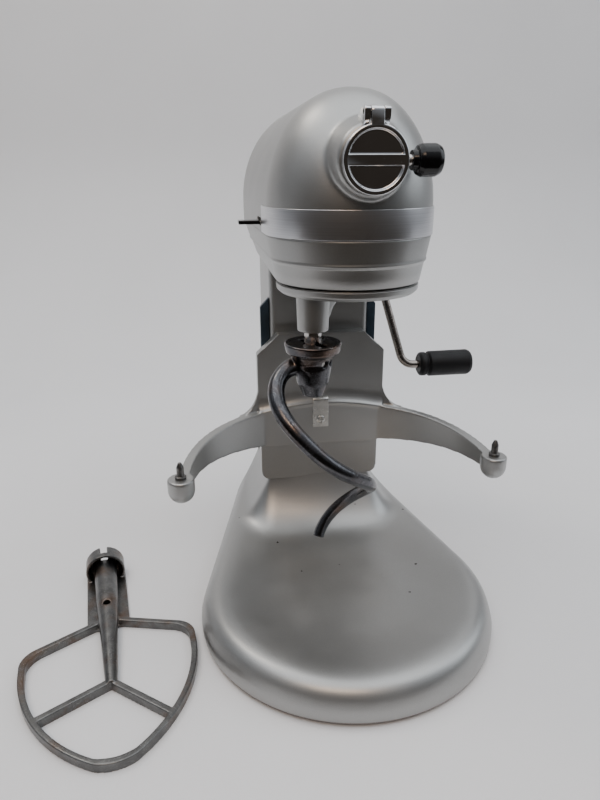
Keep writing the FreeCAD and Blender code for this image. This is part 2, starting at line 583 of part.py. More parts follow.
turned("attachment_knob", [
    ("Sizes.knob_stem_radius + Sizes.running_fit", "0"), ("6", "0"), ("6", "3"),
    ("Sizes.knob_radius - 1", "4"),
    ("Sizes.knob_radius", "6"), ("Sizes.knob_radius", "Sizes.knob_end - Sizes.knob_start - 4"),
    ("Sizes.knob_radius - 3", "Sizes.knob_end - Sizes.knob_start"),
    ("0", "Sizes.knob_end - Sizes.knob_start"),
    ("0", "Sizes.knob_end - Sizes.knob_start - 6"),
    ("Sizes.knob_stem_radius + Sizes.running_fit", "Sizes.knob_end - Sizes.knob_start - 6")],
    at=("Sizes.knob_start", "Sizes.knob_y", "Sizes.hub_height"), turn=Rotation(Y, 90))
turned("knob_stem", [
    ("0", "0"), ("Sizes.knob_stem_radius", "0"),
    ("Sizes.knob_stem_radius", "Sizes.knob_end - Sizes.hub_bore_radius - 7"),
    ("0", "Sizes.knob_end - Sizes.hub_bore_radius - 7")],
    at=("Sizes.hub_bore_radius + 0.8", "Sizes.knob_y", "Sizes.hub_height"), turn=Rotation(Y, 90))


def make_hub_drive():
    centre = Vector(0, 0, S.hub_height)
    cone = S.gear_module * S.bevel_teeth / 2
    gear = bevel_gear(int(S.hub_bevel_teeth), cone, 90 + 180 / S.hub_bevel_teeth, 0.74)
    gear.Placement = Placement(centre - Y * cone, Rotation(X, -90))
    front = S.hub_bore_end + 0.5
    shaft = Part.makeCylinder(S.socket_radius, -cone - front, Vector(0, front, S.hub_height), Y)
    half = S.square_drive / 2
    square = box(-half, half, front - 1, front + 18, S.hub_height - half, S.hub_height + half)
    return gear.fuse(shaft).cut(square)


casting("hub_drive_socket", make_hub_drive())
turned("hub_bearing", ring_outline("Sizes.socket_radius + Sizes.running_fit", "14", "0", "10"),
       at=("0", "Sizes.hub_bore_end + 2", "Sizes.hub_height"), turn=Rotation(X, -90))

# ---- gear train ----
ring_hole = gear_points(int(S.ring_teeth), S.gear_module * S.ring_teeth / 2 + 1.1 * S.gear_module,
                        S.gear_module * S.ring_teeth / 2 - 0.75 * S.gear_module, -S.backlash, S.orbit_angle)
ring = Part.makeCylinder(S.ring_gear_radius, S.gear_width, Vector(0, 0, S.ring_gear_bottom)).cut(
    Part.Face(polygon(ring_hole)).extrude(Vector(0, 0, 30)).translate(Vector(0, 0, S.ring_gear_bottom - 5)))
casting("ring_gear", ring)

turned("drip_ring", [
    ("Sizes.drip_ring_bore", "Sizes.drip_ring_bottom"),
    ("Sizes.drip_ring_lower_radius", "Sizes.drip_ring_bottom"),
    ("Sizes.ring_radius", "Sizes.drip_ring_bottom + 4"), ("Sizes.ring_radius", "Sizes.head_bottom"),
    ("Sizes.drip_ring_bore", "Sizes.head_bottom")])
shaft_bearings = []
for bottom in (S.gear_floor_bottom, S.bearing_plate_bottom):
    bearing = Part.makeCylinder(S.bearing_radius, 6, Vector(0, 0, bottom)).cut(
        Part.makeCylinder(S.spindle_radius + S.running_fit, 8, Vector(0, 0, bottom - 1)))
    shaft_bearings.append(bearing)
group("spindle_bearings", shaft_bearings)


def make_bearing_plate():
    low, thick = S.bearing_plate_bottom, S.bearing_plate_thickness
    body = Part.makeCylinder(S.band_radius - S.head_wall - 1, thick, Vector(0, 0, low))
    for angle in (0, 48, 196, 270):
        circle = S.gear_module * S.centre_teeth / 2 + S.post_gap + S.post_radius
        x, y = circle * math.cos(math.radians(angle)), circle * math.sin(math.radians(angle))
        post = Part.makeCylinder(S.post_radius, low - S.gear_floor_top, Vector(x, y, S.gear_floor_top))
        body = body.fuse(post)
    body = body.cut(Part.makeCylinder(S.bearing_radius + S.running_fit, thick + 2, Vector(0, 0, low - 1)))
    return body.cut(Part.makeCylinder(S.motor_shaft_radius + S.running_fit, thick + 2,
                                      Vector(wheel_x, wheel_y, low - 1)))


casting("bearing_plate", make_bearing_plate())

turned("planetary_shaft", [
    ("0", "Sizes.carrier_bottom"), ("Sizes.spindle_radius", "Sizes.carrier_bottom"),
    ("Sizes.spindle_radius", "Sizes.bearing_plate_bottom + 14"), ("5", "Sizes.bearing_plate_bottom + 14"),
    ("5", "Sizes.hub_height - 9"), ("0", "Sizes.hub_height - 9")])
centre_gear = spur_gear(int(S.centre_teeth), S.centre_gear_width, math.degrees(math.atan2(wheel_y, wheel_x)),
                        S.spindle_radius + S.running_fit)
casting("centre_gear", centre_gear.translate(Vector(0, 0, S.centre_gear_bottom)))


def make_bevel_gear():
    cone = S.gear_module * S.hub_bevel_teeth / 2
    gear = bevel_gear(int(S.bevel_teeth), cone, 270, 0.74)
    gear = gear.translate(Vector(0, 0, S.hub_height - cone))
    collar = Part.makeCylinder(11, S.hub_height - cone - S.bearing_plate_bottom - 14,
                               Vector(0, 0, S.bearing_plate_bottom + 14))
    return gear.fuse(collar).cut(Part.makeCylinder(5 + S.running_fit, 100, Vector(0, 0, 300)))


casting("bevel_gear", make_bevel_gear())

pinion_phase = math.degrees(math.atan2(wheel_y, wheel_x)) + 180 + 180 / S.pinion_teeth
on_motor_shaft = S.motor_shaft_radius + S.running_fit
pinion = spur_gear(int(S.pinion_teeth), S.centre_gear_width, pinion_phase, on_motor_shaft)
casting("drive_pinion", pinion.translate(Vector(wheel_x, wheel_y, S.centre_gear_bottom)))
wheel = spur_gear(int(S.wheel_teeth), 7, 180 / S.wheel_teeth, on_motor_shaft, 0.7)
casting("worm_wheel", wheel.translate(Vector(wheel_x, wheel_y, S.motor_height - 3.5)))
casting("worm_wheel_shaft", Part.makeCylinder(S.motor_shaft_radius, S.motor_height + 8 - S.gear_floor_top + 4,
                                              Vector(wheel_x, wheel_y, S.gear_floor_top - 4)))

# ---- planetary ----


def make_planetary_housing():
    low, top = S.carrier_bottom, S.carrier_top
    body = Part.makeCylinder(S.carrier_radius, top - low, Vector(0, 0, low))
    body = body.cut(Part.makeCylinder(S.carrier_radius - 5, 4, Vector(0, 0, top - 4)).cut(
        Part.makeCylinder(16, 20, Vector(0, 0, top - 10))).cut(
        Part.makeCylinder(14, 20, Vector(beater_x, beater_y, top - 10))))
    boss = Part.makeCone(S.boss_radius, S.boss_root_radius, low - S.boss_bottom,
                         Vector(beater_x, beater_y, S.boss_bottom))
    away = math.atan2(-beater_y, -beater_x)
    rib = Part.Face(polygon([Vector(x, 0, z) for x, z in (
        (4, low + 1), (4, S.boss_bottom + 6.5), (12, S.boss_bottom + 7), (14.5, S.boss_bottom + 10.5),
        (17, low - 11), (21, low - 7.8), (28, low - 5.2), (40, low - 3), (58, low + 1))]))
    rib = rib.extrude(Vector(0, 9, 0)).translate(Vector(0, -4.5, 0))
    rib.Placement = Placement(Vector(beater_x, beater_y, 0), Rotation(Z, math.degrees(away))).multiply(
        rib.Placement)
    body = body.fuse(boss).fuse(rib)
    body = body.cut(Part.makeCylinder(S.beater_shaft_radius + S.running_fit, 80,
                                      Vector(beater_x, beater_y, S.boss_bottom - 1)))
    return body.cut(Part.makeCylinder(S.spindle_radius + S.running_fit, 40, Vector(0, 0, low - 1)))


casting("planetary_housing", make_planetary_housing())
planet = spur_gear(int(S.planet_teeth), S.gear_width, S.orbit_angle,
                   S.beater_shaft_radius + S.running_fit, 0.75)
casting("planet_pinion", planet.translate(Vector(beater_x, beater_y, S.ring_gear_bottom)))
shaft_top = S.ring_gear_bottom + S.gear_width
pin_direction = Rotation(Z, S.cross_pin_angle).multVec(X)
pin_centre = Vector(beater_x, beater_y, S.cross_pin_height)
shaft = Part.makeCylinder(S.beater_shaft_radius, shaft_top - S.beater_shaft_bottom,
                          Vector(beater_x, beater_y, S.beater_shaft_bottom))
shaft = shaft.cut(Part.makeCylinder(S.cross_pin_radius + S.running_fit, 60, pin_centre - pin_direction * 30,
                                    pin_direction))
casting("beater_shaft", shaft)
casting("cross_pin", Part.makeCylinder(S.cross_pin_radius, S.cross_pin_length,
                                       pin_centre - pin_direction * (S.cross_pin_length / 2), pin_direction))


def make_dough_hook():
    """Socket with a cupped collar and a rod that winds down around the shaft's axis."""
    top, low = S.hook_collar_top, S.hook_body_bottom
    profile = [(0, low), (8, low), (S.hook_body_radius - 2, low + 10), (S.hook_body_radius, low + 22),
               (S.hook_body_radius, top - 15), (S.hook_collar_radius - 5, top - 10),
               (S.hook_collar_radius - 1.2, top - 7), (S.hook_collar_radius, top - 1),
               (S.hook_collar_radius - 1, top), (S.hook_collar_radius - 2.2, top),
               (S.hook_collar_radius - 3, top - 1), (0, top - 1)]
    face = Part.Face(polygon([Vector(r, 0, z) for r, z in profile]))
    socket = face.revolve(Vector(0, 0, 0), Z, 360)
    turns = [(178, 7, 230), (189, 24, 225), (215, 36, 210), (245, 41, 190), (280, 44, 166), (315, 46, 147),
             (350, 45.5, 129), (380, 42, 111), (406, 34, 92), (428, 24, 68)]
    places = [Vector(r * math.cos(math.radians(a)), r * math.sin(math.radians(a)), z) for a, r, z in turns]
    path = Part.BSplineCurve()
    path.interpolate(places)
    first, last = path.FirstParameter, path.LastParameter
    rings = []
    stations = 18
    for k in range(stations + 1):
        t = first + (last - first) * k / stations
        radius = S.hook_rod_radius + (S.hook_tip_radius - S.hook_rod_radius) * k / stations
        rings.append(Part.Wire(Part.Circle(path.value(t), path.tangent(t)[0], radius).toShape()))
    body = socket.fuse(Part.makeLoft(rings, True, False))
    body = body.cut(Part.makeCylinder(S.beater_shaft_radius + 0.2, 60,
                                      Vector(0, 0, S.beater_shaft_bottom - 1)))
    half = S.cross_pin_radius + 0.4
    slot = box(-30, 30, -half, half, S.cross_pin_height, top + 10).fuse(
        Part.makeCylinder(half, 60, Vector(-30, 0, S.cross_pin_height), X))
    slot = slot.fuse(slot.copy().rotate(Vector(0, 0, 0), Z, 30).common(
        box(-30, 30, -30, 30, S.cross_pin_height - half, S.cross_pin_height + half + 3)))
    slot.rotate(Vector(0, 0, 0), Z, S.cross_pin_angle)
    body = body.cut(slot.common(Part.makeCylinder(S.hook_body_radius + 1, 100, Vector(0, 0, 200))))
    return body.translate(Vector(beater_x, beater_y, 0))


casting("dough_hook", make_dough_hook())

# ---- motor ----
axis_point = Vector(0, 0, S.motor_height)


def along_motor(radius, start, end):
    return Part.makeCylinder(radius, end - start, axis_point + Y * start, Y)


stator = along_motor(S.stator_radius, S.stator_front, S.stator_back).cut(
    along_motor(S.stator_bore, S.stator_front - 1, S.stator_back + 1))
casting("motor_stator", stator)


def make_motor_bracket(start):
    end = start + S.bracket_thickness
    low = S.head_bottom + S.floor_thickness
    body = box(-40, 40, start, end, low, S.motor_height + 22)
    body = body.cut(along_motor(S.bearing_radius + S.running_fit, start - 1, end + 1))
    return body


front_bracket = make_motor_bracket(S.stator_front - S.bracket_thickness)
bracket_end = S.stator_back + S.bracket_thickness
post = Part.makeCylinder(5, S.cover_post_end - bracket_end, Vector(0, bracket_end, S.motor_height + 20), Y)
post = post.cut(Part.makeCylinder(2.5 + S.running_fit, 12, Vector(0, S.cover_post_end - 11,
                                                                   S.motor_height + 20), Y))
group("motor_brackets", [front_bracket, make_motor_bracket(S.stator_back).fuse(post)])
group("motor_bearings", [
    along_motor(S.bearing_radius, y, y + S.bracket_thickness).cut(
        along_motor(S.motor_shaft_radius + S.running_fit, y - 1, y + S.bracket_thickness + 1))
    for y in (S.stator_front - S.bracket_thickness, S.stator_back)])
casting("rear_cover_screw", Part.makeCylinder(
    2.5, S.cover_screw_seat - S.cover_post_end + 10, Vector(0, S.cover_post_end - 10, S.motor_height + 20),
    Y).fuse(Part.makeCylinder(4.5, 2, Vector(0, S.cover_screw_seat, S.motor_height + 20), Y)))


def make_worm():
    """Single right-handed thread on the front end of the motor shaft."""
    pitch = math.pi * S.gear_module
    length = 24
    root, tip = S.worm_radius - 1.15 * S.gear_module, S.worm_radius + 0.7 * S.gear_module
    slope = math.tan(math.radians(20))
    half = pitch / 4 - S.backlash
    inner = half + (S.worm_radius - root) * slope
    outer = half - (tip - S.worm_radius) * slope
    helix = Part.makeHelix(pitch, length, S.worm_radius)
    profile = polygon([Vector(root - 0.3, 0, -inner), Vector(tip, 0, -outer), Vector(tip, 0, outer),
                       Vector(root - 0.3, 0, inner)])
    thread = Part.Wire(helix).makePipeShell([profile], True, True)
    worm = thread.fuse(Part.makeCylinder(root, length + 4, Vector(0, 0, -2)))
    turns_to_middle = (length / 2) / pitch
    phase = 180 - 360 * turns_to_middle
    worm.rotate(Vector(0, 0, 0), Z, phase)
    worm.rotate(Vector(0, 0, 0), X, -90)
    return worm.translate(Vector(0, wheel_y - length / 2, S.motor_height))


armature = along_motor(S.motor_shaft_radius, wheel_y - 14, 192)
armature = armature.fuse(along_motor(S.rotor_radius, S.stator_front + 4, S.stator_back - 4))
armature = armature.fuse(along_motor(S.commutator_radius, 168, 182)).fuse(make_worm())
casting("motor_armature", armature)


def make_fan():
    start = 78
    hub = along_motor(10, start, start + 10)
    fan = hub.fuse(along_motor(S.fan_radius, start + 8, start + 10))
    for k in range(int(S.fan_blades)):
        blade = box(-0.8, 0.8, start, start + 8.5, 8, S.fan_radius)
        blade.rotate(Vector(0, start, 0), Y, 360 * k / S.fan_blades)
        fan = fan.fuse(blade.translate(axis_point))
    return fan.cut(along_motor(S.motor_shaft_radius + S.running_fit, start - 1, start + 12))


casting("motor_fan", make_fan())
brush_gap = S.commutator_radius + S.air_gap
group("carbon_brushes", [
    box(min(side * brush_gap, side * (brush_gap + S.brush_length)),
        max(side * brush_gap, side * (brush_gap + S.brush_length)), 171, 179,
        S.motor_height - 3, S.motor_height + 3) for side in (-1, 1)])


def brush_holder(side):
    near, far = brush_gap + 2, brush_gap + S.brush_length + 3
    body = box(min(side * near, side * far), max(side * near, side * far), 162, 182,
               S.motor_height - 6, S.motor_height + 6)
    inner, outer = near - 1, brush_gap + S.brush_length + 0.1
    return body.cut(box(min(side * inner, side * outer), max(side * inner, side * outer), 170.9, 179.1,
                        S.motor_height - 3.1, S.motor_height + 3.1))


group("brush_holders", [brush_holder(-1), brush_holder(1)])

# ---- speed control ----
turned("speed_pivot", [
    ("0", "Sizes.gear_floor_top - 4"), ("Sizes.pivot_radius", "Sizes.gear_floor_top - 4"),
    ("Sizes.pivot_radius", "Sizes.gear_floor_top"), ("4.5", "Sizes.gear_floor_top"),
    ("4.5", "Sizes.lever_height - Sizes.lever_thickness / 2 - 0.1"),
    ("Sizes.pivot_radius", "Sizes.lever_height - Sizes.lever_thickness / 2 - 0.1"),
    ("Sizes.pivot_radius", "Sizes.lever_height + 3"), ("0", "Sizes.lever_height + 3")],
    at=("Sizes.pivot_x", "Sizes.pivot_y", "0"))


def make_speed_lever():
    low = S.lever_height - S.lever_thickness / 2
    half = S.lever_width / 2
    pivot = Vector(S.pivot_x, S.pivot_y, low)
    body = Part.makeCylinder(half + 1, S.lever_thickness, pivot)
    body = body.fuse(box(S.lever_tip_x + 8, S.pivot_x, S.pivot_y - half, S.pivot_y + half, low,
                         low + S.lever_thickness))
    return body.cut(Part.makeCylinder(S.pivot_radius + S.running_fit, 10, pivot - Z * 3))


casting("speed_lever", make_speed_lever())
thick = S.lever_thickness / 2
tip = box(S.lever_tip_x, S.lever_tip_x + 16, S.pivot_y - 6, S.pivot_y + 6, S.lever_height - thick - 0.7,
          S.lever_height + thick + 0.7)
tip = tip.makeFillet(0.6, tip.Edges).cut(box(
    S.lever_tip_x + 7.95, S.pivot_x, S.pivot_y - S.lever_width / 2 - 0.05,
    S.pivot_y + S.lever_width / 2 + 0.05, S.lever_height - thick - 0.05, S.lever_height + thick + 0.05))
casting("speed_knob", tip)

# ---- yoke ----
pad_x = S.pin_spacing / 2


def arm(side):
    """Curved arm that grows out of the web and ends at a pad."""
    start = Vector(50, (S.web_front + S.lower_front) / 2 + 1, 0)
    end = Vector(pad_x - 3, 5, 0)
    chord = end - start
    bulge = Vector(chord.y, -chord.x, 0).normalize() * -0.17 * chord.Length
    curve = Part.Arc(start, (start + end) * 0.5 + bulge, end)
    first, last = curve.FirstParameter, curve.LastParameter
    sections = []
    for k in range(15):
        share = k / 14
        t = first + (last - first) * share
        centre, along = curve.value(t), curve.tangent(t)[0]
        across = Vector(-along.y, along.x, 0) * (S.arm_thickness / 2)
        low = S.web_bottom + (S.arm_tip_bottom - S.web_bottom) * share
        high = S.web_shoulder + (S.arm_tip_top - S.web_shoulder) * share ** 1.2
        corners = [centre + across + Z * low, centre - across + Z * low,
                   centre - across + Z * high, centre + across + Z * high]
        sections.append(polygon([Vector(side * p.x, p.y, p.z) for p in corners]))
    return Part.makeLoft(sections, True, True)


def make_yoke():
    half, top = S.yoke_half_width, S.yoke_top
    upper = Part.Face(polygon([Vector(x, S.yoke_front, z) for x, z in (
        (-half, S.yoke_middle), (-half, top - S.yoke_chamfer_z), (-half + S.yoke_chamfer_x, top),
        (half - S.yoke_chamfer_x, top), (half, top - S.yoke_chamfer_z), (half, S.yoke_middle))]))
    upper = upper.extrude(Vector(0, S.yoke_back - S.yoke_front, 0))
    lower = box(-S.lower_half_width, S.lower_half_width, S.lower_front, S.yoke_back, S.lower_bottom,
                S.yoke_middle)
    corners = [e for e in lower.Edges if all(abs(v.Point.z - S.lower_bottom) < 0.01 for v in e.Vertexes)
               and abs(e.Vertexes[0].Point.x - e.Vertexes[1].Point.x) < 0.01]
    lower = lower.makeFillet(S.lower_corner, corners)
    front = S.web_front
    low_left, low_right = Vector(-56, front, S.web_bottom), Vector(56, front, S.web_bottom)
    left, right = Vector(-56, front, S.web_shoulder), Vector(56, front, S.web_shoulder)
    web = Part.Face(Part.Wire([
        Part.LineSegment(low_left, low_right).toShape(), Part.LineSegment(low_right, right).toShape(),
        Part.Arc(right, Vector(0, front, S.web_top), left).toShape(),
        Part.LineSegment(left, low_left).toShape()])).extrude(Vector(0, S.lower_front + 1 - front, 0))
    body = upper.fuse(lower).fuse(web)
    for side in (-1, 1):
        dome = Vector(side * pad_x, 0, S.pad_bottom + S.pad_radius)
        pad = Part.makeSphere(S.pad_radius, dome, Z, -90, 0).fuse(
            Part.makeCylinder(S.pad_radius, S.arm_tip_top - dome.z, dome))
        body = body.fuse(arm(side)).fuse(pad)
        body = body.cut(Part.makeCylinder(S.locating_pin_radius + S.running_fit, 10,
                                          Vector(side * pad_x, 0, S.arm_tip_top - 8)))
    screw = Part.makeCylinder(2 + S.running_fit, 8, Vector(-1.5, S.web_front - 1, 140), Y)
    body = body.cut(screw)
    for x, z in gib_screw_places():
        body = body.cut(Part.makeCylinder(1.2 + S.running_fit, 6, Vector(x, S.yoke_back - 4, z), Y))
    return body


def gib_screw_places():
    x = S.lower_half_width - S.gib_leg / 2
    return [(side * x, z) for side in (-1, 1) for z in (S.gib_bottom + 8, S.gib_top - 8)]


casting("yoke", make_yoke())


def slide_gib(side):
    """Strip behind the guide rail that keeps the yoke on it."""
    outer = S.lower_half_width
    back = S.rail_front + S.rail_depth + S.slide_gap
    leg = box(outer - S.gib_leg, outer, S.yoke_back, back + S.gib_thickness, S.gib_bottom, S.gib_top)
    flange = box(S.column_half_width + 1, outer, back, back + S.gib_thickness, S.gib_bottom, S.gib_top)
    gib = leg.fuse(flange)
    if side < 0:
        gib = gib.mirror(Vector(0, 0, 0), X)
    for x, z in gib_screw_places():
        gib = gib.cut(Part.makeCylinder(1.2 + S.running_fit, 30, Vector(x, S.yoke_back - 2, z), Y))
    return gib


group("slide_gibs", [slide_gib(-1), slide_gib(1)])
gib_back = S.rail_front + S.rail_depth + S.slide_gap + S.gib_thickness
group("gib_screws", [Part.makeCylinder(1.2, gib_back - S.yoke_back + 3.5, Vector(x, S.yoke_back - 3.5, z), Y)
                     for x, z in gib_screw_places()])
group("locating_pins", [
    Part.makeCylinder(S.locating_pin_radius, 7, Vector(x, 0, S.arm_tip_top - 7)).fuse(
        Part.makeCylinder(S.locating_flange_radius, 2.5, Vector(x, 0, S.arm_tip_top))).fuse(
        Part.makeCylinder(S.locating_pin_radius, S.locating_pin_height - 4,
                          Vector(x, 0, S.arm_tip_top))).fuse(
        Part.makeCone(S.locating_pin_radius, 1.5, 4,
                      Vector(x, 0, S.arm_tip_top + S.locating_pin_height - 4)))
    for x in (-pad_x, pad_x)])


def make_latch():
    """Sheet spring strip that catches the back of the bowl, with a curled top."""
    front = S.web_front - S.latch_sheet
    strip = box(S.latch_left, S.latch_right, front, S.web_front, S.latch_bottom, S.latch_top - 4)
    curl = Part.makeCylinder(3, S.latch_right - S.latch_left,
                             Vector(S.latch_left, S.web_front, S.latch_top - 4), X)
    curl = curl.cut(Part.makeCylinder(3 - S.latch_sheet, 40, Vector(-20, S.web_front, S.latch_top - 4), X))
    curl = curl.common(box(-30, 30, 80, 120, S.latch_top - 4, S.latch_top + 4))
    curl = curl.translate(Vector(0, 1.5, 0))
    hole = Part.makeCylinder(2 + S.running_fit, 10, Vector(-1.5, front - 2, 140), Y)
    return strip.fuse(curl).cut(hole)


casting("latch_bracket", make_latch())
casting("latch_screw", Part.makeCylinder(2, 7, Vector(-1.5, S.web_front - S.latch_sheet, 140), Y).fuse(
    Part.makeCylinder(4, 1.8, Vector(-1.5, S.web_front - S.latch_sheet - 1.8, 140), Y)))

# ---- bowl lift ----
turned("shaft_bush", [
    ("Sizes.lift_shaft_radius + Sizes.running_fit", "0"), ("Sizes.bush_radius", "0"),
    ("Sizes.bush_radius", "Sizes.column_half_width - Sizes.bush_start"),
    ("Sizes.bush_radius + 2", "Sizes.column_half_width - Sizes.bush_start"),
    ("Sizes.bush_radius + 2", "Sizes.column_half_width - Sizes.bush_start + 2"),
    ("Sizes.lift_shaft_radius + Sizes.running_fit", "Sizes.column_half_width - Sizes.bush_start + 2")],
    at=("Sizes.bush_start", "Sizes.lift_y", "Sizes.lift_height"), turn=Rotation(Y, 90))
turned("lift_shaft", [
    ("0", "-Sizes.crank_half_width"), ("Sizes.lift_shaft_radius", "-Sizes.crank_half_width"),
    ("Sizes.lift_shaft_radius", "Sizes.column_half_width + 8"), ("0", "Sizes.column_half_width + 8")],
    at=("0", "Sizes.lift_y", "Sizes.lift_height"), turn=Rotation(Y, 90))
lift_centre = Vector(0, S.lift_y, S.lift_height)
crank_angle = math.radians(-S.crank_swing)
crank_end = lift_centre + Vector(0, math.cos(crank_angle), math.sin(crank_angle)) * S.crank_radius


def make_crank():
    half = S.crank_half_width
    hub = Part.makeCylinder(S.crank_hub_radius, 2 * half, lift_centre - X * half, X)
    eye = Part.makeCylinder(5, 2 * half, crank_end - X * half, X)
    web = box(-half, half, -5, 5, 0, S.crank_radius)
    web.rotate(Vector(0, 0, 0), X, -90 - S.crank_swing)
    body = hub.fuse(eye).fuse(web.translate(lift_centre))
    body = body.cut(Part.makeCylinder(S.lift_shaft_radius + S.running_fit, 30, lift_centre - X * 15, X))
    return body.cut(Part.makeCylinder(S.crank_pin_radius + S.running_fit, 30, crank_end - X * 15, X))


casting("lift_crank", make_crank())
pin_left = -S.crank_half_width - S.link_gap - S.link_thickness - 1
casting("crank_pin", Part.makeCylinder(S.crank_pin_radius, S.crank_half_width - 1 - pin_left,
                                       Vector(pin_left, crank_end.y, crank_end.z), X))


def make_link():
    """Slotted head that the crank pin slides along, on a stem down to the bracket bar."""
    x1 = -S.crank_half_width - S.link_gap
    x0 = x1 - S.link_thickness
    slot_half = S.crank_pin_radius + S.link_slack
    near = crank_end.y - slot_half
    far = S.lift_y + S.crank_radius + slot_half
    head = box(x0, x1, near - 3, far + 3, crank_end.z - slot_half - 2.6, crank_end.z + slot_half + 2.6)
    head = head.cut(box(x0 - 1, x1 + 1, near, far, crank_end.z - slot_half, crank_end.z + slot_half))
    stem_top = crank_end.z - slot_half - 2.6
    stem = box(x0, x1, far - 10, far + 3, S.bracket_height + S.bracket_bar, stem_top + 0.5)
    return head.fuse(stem)


casting("lift_link", make_link())
bar_end = S.lift_y + S.crank_radius + S.crank_pin_radius + S.link_slack + 3
casting("lift_bracket", box(-12, 12, S.yoke_back, bar_end, S.bracket_height,
                            S.bracket_height + S.bracket_bar))
lever_start = S.column_half_width + 8
casting("lift_lever", bent_rod([
    Vector(lever_start, S.lift_y, S.lift_height), Vector(S.lever_knee_x + 6, S.lift_y, S.lift_height),
    Vector(S.lever_bend_x, S.lever_bend_y, S.grip_height),
    Vector(S.grip_end - 6, S.lever_bend_y, S.grip_height)],
    (7, 14), S.lever_radius))
turned("lift_grip", [
    ("Sizes.lever_radius + Sizes.running_fit", "0"), ("Sizes.grip_radius - 3", "0"),
    ("Sizes.grip_radius - 1", "2"), ("Sizes.grip_radius - 1", "7"), ("Sizes.grip_radius - 2.5", "8"),
    ("Sizes.grip_radius - 2.5", "9.5"), ("Sizes.grip_radius", "11"),
    ("Sizes.grip_radius", "Sizes.grip_end - Sizes.grip_start - 2"),
    ("Sizes.grip_radius - 2", "Sizes.grip_end - Sizes.grip_start"),
    ("0", "Sizes.grip_end - Sizes.grip_start"),
    ("0", "Sizes.grip_end - Sizes.grip_start - 5.8"),
    ("Sizes.lever_radius + Sizes.running_fit", "Sizes.grip_end - Sizes.grip_start - 5.8")],
    at=("Sizes.grip_start", "Sizes.lever_bend_y", "Sizes.grip_height"), turn=Rotation(Y, 90))

# ---- flat beater, lying on the floor ----


def beater_outline(inset):
    """Shield-shaped outline; its crown carries the stem."""
    half, crown = S.beater_half_width - inset, S.beater_crown - inset
    shoulder, low = S.beater_shoulder - inset * 0.6, S.beater_bottom + inset
    right = [Vector(0, crown, 0), Vector(half - 12, shoulder + 4, 0)]
    corner = Part.Arc(right[1], Vector(half - 2.5, shoulder - 4, 0), Vector(half, shoulder - 16, 0))
    side = Part.Arc(Vector(half, shoulder - 16, 0), Vector(half * 0.76, low * 0.42, 0),
                    Vector(14, low + 3, 0))
    edges = [Part.LineSegment(right[0], right[1]).toShape(), corner.toShape(), side.toShape()]
    mirrored = [e.mirror(Vector(0, 0, 0), X) for e in edges]
    bottom = Part.Arc(Vector(14, low + 3, 0), Vector(0, low, 0), Vector(-14, low + 3, 0)).toShape()
    return Part.Wire(Part.__sortEdges__(edges + [bottom] + mirrored))


def bar_between(a, b, width):
    along = (b - a).normalize()
    across = Vector(-along.y, along.x, 0) * (width / 2)
    return prism(polygon([a - across, b - across, b + across, a + across]), S.beater_thickness)


def make_flat_beater():
    """Rim and two spokes, a round stem that swells into the shaft socket, and a hood over its mouth."""
    outside = prism(beater_outline(0), S.beater_thickness)
    rim = outside.cut(prism(beater_outline(S.beater_bar), S.beater_thickness + 2).translate(Vector(0, 0, -1)))
    centre = Vector(0, 0, 0)
    spokes = bar_between(centre, Vector(-70, -29, 0), S.beater_bar).fuse(
        bar_between(centre, Vector(60, -65, 0), S.beater_bar)).common(outside)
    stations = [(-3, S.beater_tip_radius, S.beater_tip_radius), (60, 7.5, 8), (S.beater_hub_start, 9.3, 9.3),
                (S.beater_hub_end, S.beater_hub_radius, S.beater_hub_radius + 1)]
    stem = Part.makeLoft([Part.Wire(Part.Circle(Vector(0, y, z), Y, radius).toShape())
                          for y, radius, z in stations], True, True)
    axis_z = S.beater_hub_radius + 1
    back = S.beater_hub_end
    hood = Part.makeCylinder(S.guard_radius, 16, Vector(0, back - 14, axis_z), Y).cut(
        Part.makeCylinder(S.guard_radius - S.guard_wall, 13.5, Vector(0, back - 14, axis_z), Y))
    wings = box(-S.guard_radius, S.guard_radius, S.beater_crown - 10, back + 2, 0, S.wing_thickness)
    body = rim.fuse(spokes).fuse(stem).fuse(wings).fuse(hood.common(box(-40, 40, 0, 200, 0, 60)))
    body = body.cut(Part.makeCylinder(S.beater_shaft_radius + 0.3, 60, Vector(0, back - 28, axis_z), Y))
    body = body.cut(box(-S.bayonet_slot / 2, S.bayonet_slot / 2, back - 8, 200, axis_z, 60))
    body = body.cut(Part.makeCylinder(3, 60, Vector(0, S.beater_hub_start - 14, -1)))
    body.Placement = Placement(Vector(S.beater_x, S.beater_y, 0), Rotation(Z, S.beater_turn))
    return body


casting("flat_beater", make_flat_beater())

# ---- check and write ----
doc.recompute()
for thing in doc.Objects:
    faults = [state for state in thing.State if state in ("Invalid", "Error")]
    if faults:
        raise SystemExit("%s failed: %s" % (thing.Label, faults))
for thing in nodes:
    if thing.Shape.isNull() or not thing.Shape.isValid():
        raise SystemExit("%s has no valid shape" % thing.Label)
os.makedirs("parts", exist_ok=True)
for thing in nodes:
    thing.Shape.exportStep("parts/%s.step" % thing.Label)
    print("%-20s %2d solids %10.0f mm3" % (thing.Label, len(thing.Shape.Solids), thing.Shape.Volume))
print(len(nodes), "nodes")
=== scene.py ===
import math

import bmesh
import bpy
import numpy as np
from mathutils import Matrix, Vector


